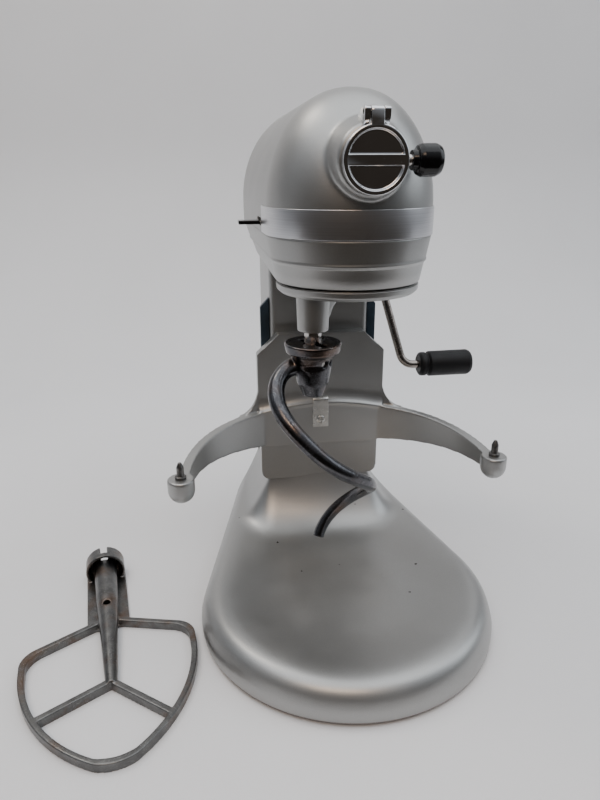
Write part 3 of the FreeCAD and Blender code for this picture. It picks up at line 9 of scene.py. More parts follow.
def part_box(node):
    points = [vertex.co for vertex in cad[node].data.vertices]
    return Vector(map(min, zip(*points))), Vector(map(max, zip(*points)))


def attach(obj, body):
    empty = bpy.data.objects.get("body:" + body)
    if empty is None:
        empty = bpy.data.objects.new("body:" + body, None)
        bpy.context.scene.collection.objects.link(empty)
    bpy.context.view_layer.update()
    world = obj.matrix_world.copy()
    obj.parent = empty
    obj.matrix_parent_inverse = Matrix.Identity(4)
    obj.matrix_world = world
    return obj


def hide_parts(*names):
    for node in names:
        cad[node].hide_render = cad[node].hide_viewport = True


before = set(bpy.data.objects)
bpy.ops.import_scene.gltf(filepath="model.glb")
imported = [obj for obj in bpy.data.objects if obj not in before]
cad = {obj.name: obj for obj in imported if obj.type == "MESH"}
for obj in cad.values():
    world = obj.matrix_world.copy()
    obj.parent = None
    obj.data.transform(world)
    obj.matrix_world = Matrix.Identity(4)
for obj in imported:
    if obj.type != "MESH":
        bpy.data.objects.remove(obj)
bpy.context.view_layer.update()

# ---- studio ----
# A sheet of pale paper hangs over the front of a table and runs up behind it. A large soft panel hangs
# overhead, with weaker ones at the front (warm), the left and the right (cool). The near side of the
# room is dim.

YAW, PITCH, ROLL = 0.152, 0.349, -0.006
ahead = Vector((math.sin(YAW) * math.cos(PITCH), math.cos(YAW) * math.cos(PITCH), -math.sin(PITCH)))
level = Vector((math.cos(YAW), -math.sin(YAW), 0))
over = level.cross(ahead)
right = level * math.cos(ROLL) + over * math.sin(ROLL)
up = over * math.cos(ROLL) - level * math.sin(ROLL)
lens = bpy.data.cameras.new("camera")
lens.lens = 28.1
lens.sensor_width = 36
lens.clip_start = 0.02
camera = bpy.data.objects.new("camera", lens)
bpy.context.scene.collection.objects.link(camera)
camera.matrix_world = Matrix.Translation((-0.1065, -0.4599, 0.3646)) @ Matrix(
    (right, up, -ahead)).transposed().to_4x4()
bpy.context.scene.camera = camera


class Finish:
    """One finish of this mixer: a material, its shader, and short ways to wire effects into it."""

    def __init__(self, name, colour, metal, rough, **plain):
        self.material = bpy.data.materials.new(name)
        self.material.use_nodes = True
        self.tree = self.material.node_tree
        self.shader = self.tree.nodes["Principled BSDF"]
        self.colour = (*colour, 1)
        self.shader.inputs["Base Color"].default_value = self.colour
        self.shader.inputs["Metallic"].default_value = metal
        self.shader.inputs["Roughness"].default_value = rough
        for socket, value in plain.items():
            self.shader.inputs[socket.replace("_", " ")].default_value = value

    def effect(self, group, **values):
        node = self.tree.nodes.new("ShaderNodeGroup")
        node.node_tree = group
        for socket, value in values.items():
            node.inputs[socket.replace("_", " ")].default_value = value
        return node

    def mix(self, kind, mask, first, second):
        """Blend two colours or values by a mask; either may be an output or a plain value."""
        node = self.tree.nodes.new("ShaderNodeMix")
        node.data_type = kind
        wanted = {"RGBA": (0, 6, 7, 2), "FLOAT": (0, 2, 3, 0)}[kind]
        for index, value in zip(wanted[:3], (mask, first, second)):
            if isinstance(value, bpy.types.NodeSocket):
                self.tree.links.new(value, node.inputs[index])
            else:
                node.inputs[index].default_value = value
        return node.outputs[wanted[3]]

    def shade(self, factor, colour=None):
        """Multiply a colour by a value that changes over the surface."""
        node = self.tree.nodes.new("ShaderNodeMix")
        node.data_type = "RGBA"
        node.blend_type = "MULTIPLY"
        node.inputs[0].default_value = 1
        if isinstance(colour, bpy.types.NodeSocket):
            self.tree.links.new(colour, node.inputs[6])
        else:
            node.inputs[6].default_value = colour or self.colour
        self.tree.links.new(factor, node.inputs[7])
        return node.outputs[2]

    def feed(self, socket, value):
        self.tree.links.new(value, self.shader.inputs[socket])

    def bump(self, height, depth, strength=1.0):
        """Turn heights into a bump that is depth metres deep, on top of any earlier one."""
        node = self.tree.nodes.new("ShaderNodeBump")
        node.inputs["Strength"].default_value = strength
        node.inputs["Distance"].default_value = depth
        self.tree.links.new(height, node.inputs["Height"])
        before = self.shader.inputs["Normal"].links
        if before:
            self.tree.links.new(before[0].from_socket, node.inputs["Normal"])
        self.tree.links.new(node.outputs[0], self.shader.inputs["Normal"])


def effect_group(name, inputs, outputs):
    """An empty effect shared by several finishes: its group and its two ends."""
    group = bpy.data.node_groups.new(name, "ShaderNodeTree")
    for label, value in inputs:
        vector = isinstance(value, tuple)
        socket = group.interface.new_socket(label, in_out="INPUT",
                                            socket_type="NodeSocketVector" if vector else "NodeSocketFloat")
        socket.default_value = value
    for label in outputs:
        group.interface.new_socket(label, in_out="OUTPUT", socket_type="NodeSocketFloat")
    return group, group.nodes.new("NodeGroupInput").outputs, group.nodes.new("NodeGroupOutput").inputs


def wire(group, kind, values=(), **settings):
    """Add a node to an effect and connect or set its inputs."""
    node = group.nodes.new(kind)
    for key, value in settings.items():
        setattr(node, key, value)
    for key, value in dict(values).items():
        if isinstance(value, bpy.types.NodeSocket):
            group.links.new(value, node.inputs[key])
        else:
            node.inputs[key].default_value = value
    return node.outputs


def spread(group, value, low, high, to_low=0.0, to_high=1.0):
    """Stretch a band of values to another band, clamped."""
    return wire(group, "ShaderNodeMapRange", {0: value, 1: low, 2: high, 3: to_low, 4: to_high})[0]


# cloudy: slow, soft variation of tint or gloss
cloudy, given, result = effect_group("cloudy", [("Scale", 20.0), ("Low", 0.9), ("High", 1.1)], ["Value"])
place = wire(cloudy, "ShaderNodeTexCoord")["Object"]
noise = wire(cloudy, "ShaderNodeTexNoise", {"Vector": place, "Scale": given["Scale"], "Detail": 4.0})[0]
band = wire(cloudy, "ShaderNodeMapRange", {0: noise, 1: 0.3, 2: 0.7, 3: given["Low"], 4: given["High"]})[0]
cloudy.links.new(band, result["Value"])

paper = Finish("backdrop_paper", (0.82, 0.82, 0.83), 0.0, 0.85)
tint = paper.effect(cloudy, Scale=2.2, Low=0.96, High=1.03)
paper.feed("Base Color", paper.shade(tint.outputs[0]))
fibre = paper.effect(cloudy, Scale=900.0, Low=0.0, High=1.0)
paper.bump(fibre.outputs[0], 0.0002, 0.3)

sweep = [(-0.29, -0.9), (-0.29, -0.02), (-0.284, -0.006), (-0.27, 0.0), (0.0, 0.0), (0.5, 0.0)]
sweep += [(0.62 + 0.45 * math.sin(a), 0.45 - 0.45 * math.cos(a)) for a in np.radians(range(0, 91, 6))]
sweep += [(1.07, 1.2), (1.07, 3.2)]
paper_mesh = bpy.data.meshes.new("backdrop")
paper_mesh.from_pydata([(x, y, z) for y, z in sweep for x in (-3.2, 0.0, 3.2)], [],
                       [(3 * k + i, 3 * k + i + 1, 3 * k + i + 4, 3 * k + i + 3)
                        for k in range(len(sweep) - 1) for i in (0, 1)])
paper_mesh.materials.append(paper.material)
paper_mesh.polygons.foreach_set("use_smooth", [True] * len(paper_mesh.polygons))
backdrop = bpy.data.objects.new("backdrop", paper_mesh)
bpy.context.scene.collection.objects.link(backdrop)


def soft_panel(name, place, target, width, height, power, colour):
    panel = bpy.data.lights.new(name, "AREA")
    panel.shape = "RECTANGLE"
    panel.size, panel.size_y, panel.energy, panel.color = width, height, power, colour
    lamp = bpy.data.objects.new(name, panel)
    bpy.context.scene.collection.objects.link(lamp)
    lamp.location = place
    lamp.rotation_euler = (Vector(target) - Vector(place)).to_track_quat("-Z", "Y").to_euler()


soft_panel("panel_over", (-0.05, 0.02, 1.75), (-0.05, 0.0, 0.0), 2.8, 2.0, 25, (0.96, 0.98, 1.0))
soft_panel("panel_front", (-0.35, -1.15, 1.35), (0.0, 0.0, 0.1), 0.9, 0.4, 6.0, (1.0, 0.72, 0.5))
soft_panel("panel_left", (-0.75, 0.55, 1.55), (0.0, 0.0, 0.35), 0.35, 0.35, 3.0, (1.0, 0.90, 0.78))
soft_panel("panel_right", (1.35, -0.1, 0.95), (0.0, 0.0, 0.2), 0.8, 1.0, 4.0, (0.88, 0.94, 1.0))
world = bpy.data.worlds.new("room")
bpy.context.scene.world = world
world.use_nodes = True
room = world.node_tree
facing = room.nodes.new("ShaderNodeTexCoord").outputs["Generated"]
lean = room.nodes.new("ShaderNodeVectorMath")
lean.operation = "DOT_PRODUCT"
lean.inputs[1].default_value = (0.10, 0.36, 0.92)
room.links.new(facing, lean.inputs[0])
shade = room.nodes.new("ShaderNodeValToRGB")
shade.color_ramp.elements[0].position, shade.color_ramp.elements[0].color = 0.40, (0.045, 0.038, 0.032, 1)
shade.color_ramp.elements[1].position, shade.color_ramp.elements[1].color = 0.80, (0.80, 0.85, 0.92, 1)
half = room.nodes.new("ShaderNodeMath")
half.operation = "MULTIPLY_ADD"
half.inputs[1].default_value = half.inputs[2].default_value = 0.5
room.links.new(lean.outputs["Value"], half.inputs[0])
room.links.new(half.outputs[0], shade.inputs[0])
room.links.new(shade.outputs[0], room.nodes["Background"].inputs["Color"])
room.nodes["Background"].inputs["Strength"].default_value = 0.7

# ---- pedestal ----
# The base and column are one aluminium casting, open underneath, sprayed with silver enamel.
# The base is dished like a tray; its back sweeps up into the column that carries the head.

MM = 0.001


def hull_outline(circles, arc_steps, line_steps):
    """Line pulled tight around circles (x, y, radius), anticlockwise: its points and outward normals."""
    turns = []
    for (ax, ay, ar), (bx, by, br) in zip(circles, circles[1:] + circles[:1]):
        span = math.hypot(bx - ax, by - ay)
        ux, uy = (bx - ax) / span, (by - ay) / span
        cosine = (ar - br) / span
        sine = math.sqrt(1 - cosine * cosine)
        turns.append(math.atan2(uy * cosine - ux * sine, ux * cosine + uy * sine))
    points, normals = [], []
    for k, (x, y, r) in enumerate(circles):
        first, last = turns[k - 1], turns[k]
        sweep_angle = (last - first) % (2 * math.pi)
        for i in range(arc_steps[k]):
            a = first + sweep_angle * i / arc_steps[k]
            points.append((x + r * math.cos(a), y + r * math.sin(a)))
            normals.append((math.cos(a), math.sin(a)))
        bx, by, br = circles[(k + 1) % len(circles)]
        out = np.array((math.cos(last), math.sin(last)))
        start, end = np.array((x, y)) + r * out, np.array((bx, by)) + br * out
        for i in range(line_steps[k]):
            points.append(tuple(start + (end - start) * i / line_steps[k]))
            normals.append(tuple(out))
    return np.array(points), np.array(normals)


def skin_faces(ring_count, around, closed=True):
    """Four-sided faces between neighbouring rings of points."""
    last = around if closed else around - 1
    return [(r * around + k, r * around + (k + 1) % around, (r + 1) * around + (k + 1) % around,
             (r + 1) * around + k) for r in range(ring_count - 1) for k in range(last)]


def new_piece(name, points, faces, corner=35):
    """A mesh object from points in millimetres, welded, with its normals outward."""
    mesh = bpy.data.meshes.new(name)
    bm = bmesh.new()
    for p in points:
        bm.verts.new((p[0] * MM, p[1] * MM, p[2] * MM))
    bm.verts.ensure_lookup_table()
    for f in faces:
        if len(set(f)) > 2:
            bm.faces.new([bm.verts[i] for i in f])
    bmesh.ops.remove_doubles(bm, verts=bm.verts, dist=1e-6)
    bmesh.ops.dissolve_degenerate(bm, edges=bm.edges, dist=1e-7)
    bmesh.ops.recalc_face_normals(bm, faces=bm.faces)
    bm.to_mesh(mesh)
    bm.free()
    piece = bpy.data.objects.new(name, mesh)
    bpy.context.scene.collection.objects.link(piece)
    return smooth_over(piece, corner)


def smooth_over(piece, corner=35):
    """Smooth shading, with edges sharper than the corner angle left crisp."""
    mesh = piece.data
    bm = bmesh.new()
    bm.from_mesh(mesh)
    for face in bm.faces:
        face.smooth = True
    for edge in bm.edges:
        edge.smooth = len(edge.link_faces) != 2 or edge.calc_face_angle(0) < math.radians(corner)
    bm.to_mesh(mesh)
    bm.free()
    return piece


def settle(piece, corner=None):
    """Make a piece's modifiers part of its mesh."""
    bpy.context.view_layer.update()
    finished = bpy.data.meshes.new_from_object(piece.evaluated_get(bpy.context.evaluated_depsgraph_get()))
    piece.modifiers.clear()
    piece.data = finished
    return smooth_over(piece, corner) if corner else piece


def carve(piece, tools, how="DIFFERENCE", corner=35):
    """Cut, join or trim a casting with solid tools, which are used up."""
    for tool in tools:
        step = piece.modifiers.new("carve", "BOOLEAN")
        step.operation, step.solver, step.object = how, "MANIFOLD", tool
    settle(piece, corner)
    for tool in tools:
        bpy.data.objects.remove(tool)
    return piece


def block(x0, x1, y0, y1, z0, z1, round_edge=0.0, along="Z"):
    """A milled block used as a tool, with the edges along one axis rounded."""
    r = max(round_edge, 0.001)
    spans = {"Z": ((x0, x1), (y0, y1), (z0, z1)), "Y": ((z0, z1), (x0, x1), (y0, y1)),
             "X": ((y0, y1), (z0, z1), (x0, x1))}[along]
    (a0, a1), (b0, b1), (c0, c1) = spans
    flat, _ = hull_outline([(a0 + r, b0 + r, r), (a1 - r, b0 + r, r), (a1 - r, b1 - r, r), (a0 + r, b1 - r, r)],
                           (6, 6, 6, 6), (1, 1, 1, 1))
    order = {"Z": (0, 1, 2), "Y": (1, 2, 0), "X": (2, 0, 1)}[along]
    points = []
    for c in (c0, c1):
        for a, b in flat:
            local = (a, b, c)
            points.append([local[order[0]], local[order[1]], local[order[2]]])
    n = len(flat)
    return new_piece("tool", points, skin_faces(2, n) + [tuple(range(n)), tuple(range(2 * n - 1, n - 1, -1))])


def rounded(corners, radii, steps=5):
    """Profile with each corner rounded to its own radius; end corners stay."""
    line = [corners[0]]
    for before, here, after, r in zip(corners, corners[1:], corners[2:], radii):
        if r <= 0:
            line.append(here)
            continue
        p, a, b = np.array(here, float), np.array(before, float), np.array(after, float)
        back, on = (a - p) / np.linalg.norm(a - p), (b - p) / np.linalg.norm(b - p)
        half = math.acos(np.clip(back @ on, -1, 1)) / 2
        cut = min(r / math.tan(half), 0.49 * np.linalg.norm(a - p), 0.49 * np.linalg.norm(b - p))
        start, end = p + back * cut, p + on * cut
        for k in range(steps + 1):
            t = k / steps
            line.append(tuple((1 - t) ** 2 * start + 2 * t * (1 - t) * p + t * t * end))
    line.append(corners[-1])
    return line


def lathe(name, profile, centre, axis="Z", around=64, corner=35, flutes=0, flute_depth=0.0):
    """Turned piece: (radius, height) corners about an axis through centre, in millimetres."""
    basis = {"Z": ((1, 0, 0), (0, 1, 0), (0, 0, 1)), "X": ((0, 1, 0), (0, 0, 1), (1, 0, 0)),
             "Y": ((0, 0, 1), (1, 0, 0), (0, 1, 0))}[axis]
    e1, e2, e3 = (np.array(b, float) for b in basis)
    points = []
    for r, h in profile:
        for k in range(around):
            a = 2 * math.pi * k / around
            pull = 1 - flute_depth / max(r, 1) * (0.5 - 0.5 * math.cos(flutes * a)) if flutes else 1
            points.append(np.array(centre) + e1 * r * pull * math.cos(a) + e2 * r * pull * math.sin(a) + e3 * h)
    faces = skin_faces(len(profile), around)
    return new_piece(name, points, faces, corner)


def ease(t):
    t = np.clip(t, 0, 1)
    return t * t * (3 - 2 * t)


def blend_up(a, b, soft):
    """Higher of two heights, rounded where they meet."""
    t = np.clip(0.5 + 0.5 * (b - a) / soft, 0, 1)
    return a * (1 - t) + b * t + soft * t * (1 - t)


RIM_HEIGHT, RIM_ROUND, DISH_DEPTH = 32.0, 13.0, 10.0
COLUMN_HALF, COLUMN_FRONT, COLUMN_BACK, COLUMN_TOP = 47.0, 112.0, 205.0, 290.0
base_circles = [(0, -16, 124), (45, 172, 40), (-45, 172, 40)]
edge_points, edge_normals = hull_outline(base_circles, (128, 16, 16), (46, 16, 46))
AROUND = len(edge_points)
dense_edge, _ = hull_outline(base_circles, (500, 80, 80), (300, 80, 300))

middle = np.array((0.0, (COLUMN_FRONT + COLUMN_BACK) / 2))
column_round = 5.0
arcs = []
for cx, cy, first in ((COLUMN_HALF, COLUMN_FRONT, -90), (COLUMN_HALF, COLUMN_BACK, 0),
                      (-COLUMN_HALF, COLUMN_BACK, 90), (-COLUMN_HALF, COLUMN_FRONT, 180)):
    ox = cx - math.copysign(column_round, cx)
    oy = cy - math.copysign(column_round, cy - middle[1])
    angle_of_corner = math.atan2(cy - middle[1], cx)
    angles = np.arctan2(edge_points[:, 1] - middle[1], edge_points[:, 0])
    nearest = int(np.argmin(np.abs(np.angle(np.exp(1j * (angles - angle_of_corner))))))
    steps = [(ox + column_round * math.cos(math.radians(first + 15 * i)),
              oy + column_round * math.sin(math.radians(first + 15 * i))) for i in range(7)]
    arcs.append((nearest, steps))
column_points = np.zeros((AROUND, 2))
for (index, steps), (next_index, next_steps) in zip(arcs, arcs[1:] + arcs[:1]):
    for i, p in enumerate(steps):
        column_points[(index - 3 + i) % AROUND] = p
    gap = (next_index - 3 - (index + 3)) % AROUND
    for i in range(1, gap):
        column_points[(index + 3 + i) % AROUND] = (np.array(steps[-1]) * (gap - i)
                                                   + np.array(next_steps[0]) * i) / gap


def base_height(x, y):
    """Height of the tray and of the sweep up to the column."""
    inside = np.sqrt(((dense_edge[None] - np.stack([x, y], -1)[:, None]) ** 2).sum(-1)).min(1)
    tray = RIM_HEIGHT - DISH_DEPTH * ease((inside - 13) / 55)
    side, fore = np.maximum(np.abs(x) - COLUMN_HALF, 0), np.maximum(COLUMN_FRONT - y, 0)
    aft = np.maximum(y - COLUMN_BACK, 0)
    reach = np.clip(1 - np.sqrt((side / 46) ** 2 + (fore / 46) ** 2 + (aft / 14) ** 2), 0, 1)
    share = fore / (side + fore + aft + 1e-6)
    top = 93 - 10 * ease(share * 1.15)
    neck = 22 + (top - 22) * (1 - (1 - reach ** 1.45) ** (1 / 1.45))
    return blend_up(tray, neck, 11.0)


rings = []
for z in (3.0, 3.6, 5.0, 12.0, 17.0):
    inset = 0.9 if z == 3.0 else 0.3 if z == 3.6 else 0.0
    rings.append(np.column_stack([edge_points - edge_normals * inset, np.full(AROUND, z)]))
for angle in range(12, 91, 13):
    inset = RIM_ROUND * (1 - math.cos(math.radians(angle)))
    flat = edge_points - edge_normals * inset
    lift = base_height(flat[:, 0], flat[:, 1]) - RIM_HEIGHT
    z = RIM_HEIGHT - RIM_ROUND * (1 - math.sin(math.radians(angle)))
    rings.append(np.column_stack([flat, z + np.maximum(lift, 0)]))
start = edge_points - edge_normals * RIM_ROUND
for k in range(1, 73):
    flat = start + (column_points - start) * k / 72
    rings.append(np.column_stack([flat, base_height(flat[:, 0], flat[:, 1])]))
grid = np.array(rings)
for _ in range(20):
    grid[4:-1] = 0.5 * grid[4:-1] + 0.25 * (grid[3:-2] + grid[5:])
neck_top = grid[-1][:, 2].copy()
for k in range(1, 15):
    z = neck_top + (COLUMN_TOP - neck_top) * k / 14
    grid = np.concatenate([grid, np.column_stack([column_points, z])[None]])
pedestal = new_piece("pedestal_casting", grid.reshape(-1, 3), skin_faces(len(grid), AROUND), 50)
wall = pedestal.modifiers.new("wall", "SOLIDIFY")
wall.thickness, wall.offset = 5.5 * MM, -1
settle(pedestal, 50)
carve(pedestal, [block(-15, 15, 100, 125, 130, 192, 4, "Y"),
                 lathe("tool", [(0, 30), (8.1, 30), (8.1, 60), (0, 60)], (0, 150, 262), "X", 40),
                 lathe("tool", [(0, 190), (7.1, 190), (7.1, 215), (0, 215)], (0, 0, 242), "Y", 40)],
      corner=50)

# flake: fine glitter of aluminium flake in paint, and its slight unevenness
flake, given, result = effect_group("flake", [("Scale", 2600.0), ("Peel", 160.0)], ["Shade", "Height"])
place = wire(flake, "ShaderNodeTexCoord")["Object"]
fine = wire(flake, "ShaderNodeTexNoise", {"Vector": place, "Scale": given["Scale"], "Detail": 1.0})[0]
flake.links.new(spread(flake, fine, 0.3, 0.7, 0.93, 1.07), result["Shade"])
peel = wire(flake, "ShaderNodeTexNoise", {"Vector": place, "Scale": given["Peel"], "Detail": 2.0})[0]
grain = wire(flake, "ShaderNodeMath", {0: peel, 1: fine}, operation="ADD")[0]
flake.links.new(grain, result["Height"])

# specks: a few small chips or spots, thinly scattered
specks, given, result = effect_group("specks", [("Scale", 60.0), ("Size", 0.05), ("Share", 0.1)], ["Mask"])
place = wire(specks, "ShaderNodeTexCoord")["Object"]
cells = wire(specks, "ShaderNodeTexVoronoi", {"Vector": place, "Scale": given["Scale"]})
ragged = wire(specks, "ShaderNodeTexNoise", {"Vector": place, "Scale": 700.0})[0]
edge = wire(specks, "ShaderNodeMath", {0: ragged, 1: given["Size"]}, operation="MULTIPLY")[0]
near = wire(specks, "ShaderNodeMath", {0: cells["Distance"], 1: edge}, operation="LESS_THAN")[0]
lot = wire(specks, "ShaderNodeSeparateColor", {0: cells["Color"]})[0]
chosen = wire(specks, "ShaderNodeMath", {0: lot, 1: given["Share"]}, operation="LESS_THAN")[0]
specks.links.new(wire(specks, "ShaderNodeMath", {0: near, 1: chosen}, operation="MULTIPLY")[0], result["Mask"])

# height_band: a mask that is full below one height and fades out above it
height_band, given, result = effect_group("height_band", [("Low", 0.0), ("High", 0.1)], ["Mask"])
place = wire(height_band, "ShaderNodeTexCoord")["Object"]
height = wire(height_band, "ShaderNodeSeparateXYZ", {0: place})[2]
fade = wire(height_band, "ShaderNodeMapRange", {0: height, 1: given["Low"], 2: given["High"], 3: 1.0, 4: 0.0})[0]
height_band.links.new(fade, result["Mask"])


def silver_enamel(name):
    """Satin silver spray enamel over cast aluminium."""
    paint = Finish(name, (0.385, 0.385, 0.377), 0.93, 0.40, Coat_Weight=0.22, Coat_Roughness=0.24)
    glitter = paint.effect(flake)
    clouds = paint.effect(cloudy, Scale=9.0, Low=0.94, High=1.05)
    tone = paint.shade(clouds.outputs[0], paint.shade(glitter.outputs["Shade"]))
    gloss = paint.effect(cloudy, Scale=34.0, Low=0.38, High=0.43)
    paint.feed("Roughness", gloss.outputs[0])
    paint.bump(glitter.outputs["Height"], 0.00006, 0.35)
    paint.feed("Base Color", tone)
    return paint, tone


base_paint, tone = silver_enamel("silver_enamel_base")
spots = base_paint.effect(specks, Scale=58.0, Size=0.13, Share=0.16)
low_only = base_paint.effect(height_band, Low=0.034, High=0.05)
worn = base_paint.mix("FLOAT", low_only.outputs[0], 0.0, spots.outputs[0])
tone = base_paint.mix("RGBA", worn, tone, (0.05, 0.045, 0.04, 1))
# painted shade: a dark brown band along the bottom edge of the base stands in for the shadow in the gap under it
foot_shade_line = base_paint.effect(height_band, Low=0.0034, High=0.0052)
tone = base_paint.mix("RGBA", foot_shade_line.outputs[0], tone, (0.11, 0.06, 0.04, 1))
base_paint.feed("Base Color", tone)
pedestal.data.materials.clear()
pedestal.data.materials.append(base_paint.material)
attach(pedestal, "stand")
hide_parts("pedestal")

enamel, _ = silver_enamel("silver_enamel")


def dress(node, finish, bevel=0.0, slot=None):
    """Give a carried-over node its finish, and break its sharp edges."""
    piece = cad[node]
    for seat in piece.material_slots:
        seat.material = finish.material
    if bevel:
        weld = piece.modifiers.new("weld", "WELD")
        weld.merge_threshold = 1e-6
        edge_break = piece.modifiers.new("edge_break", "BEVEL")
        edge_break.width, edge_break.segments = bevel * MM, 2
        edge_break.limit_method, edge_break.angle_limit = "ANGLE", math.radians(40)


def fit_out(piece, finish, body, slot, *nodes):
    """Finish a new piece, fix it to its body and hide the nodes it replaces."""
    piece.data.materials.clear()
    piece.data.materials.append(finish.material)
    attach(piece, body)
    if nodes:
        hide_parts(*nodes)
    return piece

# ---- feet and screws ----
# Five moulded rubber feet, each held into a boss of the base by a zinc-plated screw.

rubber = Finish("foot_rubber", (0.028, 0.027, 0.026), 0.0, 0.8)
dust = rubber.effect(cloudy, Scale=120.0, Low=0.7, High=1.5)
rubber.feed("Base Color", rubber.shade(dust.outputs[0]))
rubber.bump(dust.outputs[0], 0.0002, 0.4)
zinc = Finish("zinc_steel", (0.62, 0.61, 0.58), 1.0, 0.32)
haze = zinc.effect(cloudy, Scale=150.0, Low=0.82, High=1.1)
zinc.feed("Base Color", zinc.shade(haze.outputs[0]))
gloss = zinc.effect(cloudy, Scale=260.0, Low=0.24, High=0.42)
zinc.feed("Roughness", gloss.outputs[0])
zinc.bump(haze.outputs[0], 0.00004, 0.3)
foot_low, foot_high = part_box("rubber_feet")
for number, seat in enumerate([(0, 0)] + [(s * 66.44, -89.8) for s in (-1, 1)] + [(s * 63, 168) for s in (-1, 1)]):
    profile = rounded([(0, 0), (8.6, 0), (10, 5), (3, 5), (2.55, 1.5), (0, 1.5)], (1.0, 0.8, 0, 0))
    foot = lathe("rubber_foot_%d" % (number + 1), profile, (*seat, 0), "Z", 40)
    fit_out(foot, rubber, "stand", "rubber", *(["rubber_feet"] if number == 0 else []))
dress("foot_screws", zinc)

# ---- rails, bolts and cord gland ----
# Two dark steel guide rails screwed to the column's sides, four bolts that hold the head down,
# and a rubber gland in the back of the column.

rail_steel = Finish("dark_rail", (0.035, 0.055, 0.075), 0.35, 0.38, Coat_Weight=0.2)
smear = rail_steel.effect(cloudy, Scale=45.0, Low=0.7, High=1.4)
rail_steel.feed("Base Color", rail_steel.shade(smear.outputs[0]))
gloss = rail_steel.effect(cloudy, Scale=80.0, Low=0.28, High=0.5)
rail_steel.feed("Roughness", gloss.outputs[0])


def extrude(name, outline, start, end, axis, corner=35, edge=0.0):
    """Flat piece cut to an outline and given a thickness along an axis, with its edges broken."""
    order = {"Z": (0, 1, 2), "Y": (1, 2, 0), "X": (2, 0, 1)}[axis]
    points = [[(a, b, c)[order[0]], (a, b, c)[order[1]], (a, b, c)[order[2]]]
              for c in (start, end) for a, b in outline]
    n = len(outline)
    faces = skin_faces(2, n) + [tuple(range(n)), tuple(range(2 * n - 1, n - 1, -1))]
    piece = new_piece(name, points, faces, corner)
    if edge:
        step = piece.modifiers.new("edge", "BEVEL")
        step.width, step.segments, step.limit_method = edge * MM, 3, "ANGLE"
        step.angle_limit = math.radians(40)
        settle(piece, corner)
    return piece


for side, name in ((-1, "rail_left"), (1, "rail_right")):
    outline = [(98.0, side * 47.02), (98.0, side * 55.5), (247.0, side * 55.5), (256.0, side * 47.02)]
    rail = extrude(name, outline, 115.5, 121.5, "Y", edge=0.8)
    fit_out(rail, rail_steel, "stand", "dark_rail", *(["guide_rails"] if side < 0 else []))
dress("rail_screws", zinc, 0.3)
dress("head_bolts", zinc, 0.4)
gland = lathe("gland", rounded([(4, -6), (7, -6), (7, 0), (9.4, 0.02), (8.4, 5), (5.2, 6.5), (4, 6.5), (4, -6)],
                               (0.4, 0, 0.3, 1.2, 0.8, 0.4)), (0, 205, 242), "Y", 48)
fit_out(gland, rubber, "stand", "rubber", "cord_gland")

# ---- head castings ----
# The gearcase and the domed top housing are two aluminium castings that meet at the trim band.
# The rear cover closes both, with cooling slots; all three wear the same silver enamel.

FLOOR, SEAM, DOME_START, TOP = 297.0, 323.0, 342.5, 419.0


def head_ring(front, rear, rear_y, z):
    flat, _ = hull_outline([(0, 0, front), (0, rear_y, rear)], (72, 72), (40, 40))
    return np.column_stack([flat, np.full(len(flat), z)])


def skirt_rings(inset, heights, bead=0.0):
    """Tapered lower half of the head."""
    rings = []
    for z, swell in heights:
        rise = (z - 290.0) / (SEAM - 290.0)
        rings.append(head_ring(53.4 + 6.6 * rise - inset + swell, 52 + 12 * rise - inset + swell, 167.0, z))
    return rings


def dome_rings(inset, bottom):
    """Straight band wall, then the dome that closes over the motor."""
    rings = [head_ring(60.0 - inset, 64.0 - inset, 167.0, bottom + (DOME_START - bottom) * k / 3)
             for k in range(4)]
    height = TOP - inset - DOME_START
    for angle in list(range(4, 90, 4)) + [90]:
        share = max(math.cos(math.radians(angle)), 0.0) ** 0.9
        z = DOME_START + height * math.sin(math.radians(angle)) ** 1.05
        share = max(share, 0.0005)
        rings.append(head_ring((60.0 - inset) * share, (64.0 - inset) * share, 167.0 - 22 * (1 - share), z))
    return rings


def closed_form(name, rings, corner=35):
    count, around = len(rings), len(rings[0])
    faces = skin_faces(count, around) + [tuple(range(around))[::-1]]
    faces.append(tuple(range((count - 1) * around, count * around)))
    return new_piece(name, np.array(rings).reshape(-1, 3), faces, corner)


bead_profile = [(290.0, -1.2), (290.3, -0.6), (291.0, -0.1), (298.0, -0.15), (303.4, -0.2), (304.2, -0.1),
                (304.7, 0.45), (305.2, 0.85), (306.0, 0.95), (306.7, 0.8), (307.3, 0.45), (308.2, 0.3),
                (321.4, 0.1), (322.4, -0.1), (323.0, -0.7)]
gearcase = closed_form("gearcase_casting", skirt_rings(0, bead_profile), 50)
cavity = closed_form("tool", skirt_rings(4.0, [(FLOOR, 0), (SEAM + 1, 0)]))
carve(cavity, [lathe("tool", [(0, 280), (53, 280), (53, 315), (0, 315)], (0, 0, 0))])
carve(gearcase, [cavity,
                 lathe("tool", [(0, 280), (50.05, 280), (50.05, 309), (0, 309)], (0, 0, 0), around=128),
                 lathe("tool", [(0, 300), (11.05, 300), (11.05, 330), (0, 330)], (0, 0, 0)),
                 lathe("tool", [(0, 311), (5.05, 311), (5.05, 330), (0, 330)], (-22, 39.26, 0), around=32),
                 block(-100, 100, 204.8, 260, 250, 450)], corner=40)
fit_out(gearcase, enamel, "stand", "painted_casting", "gearcase")


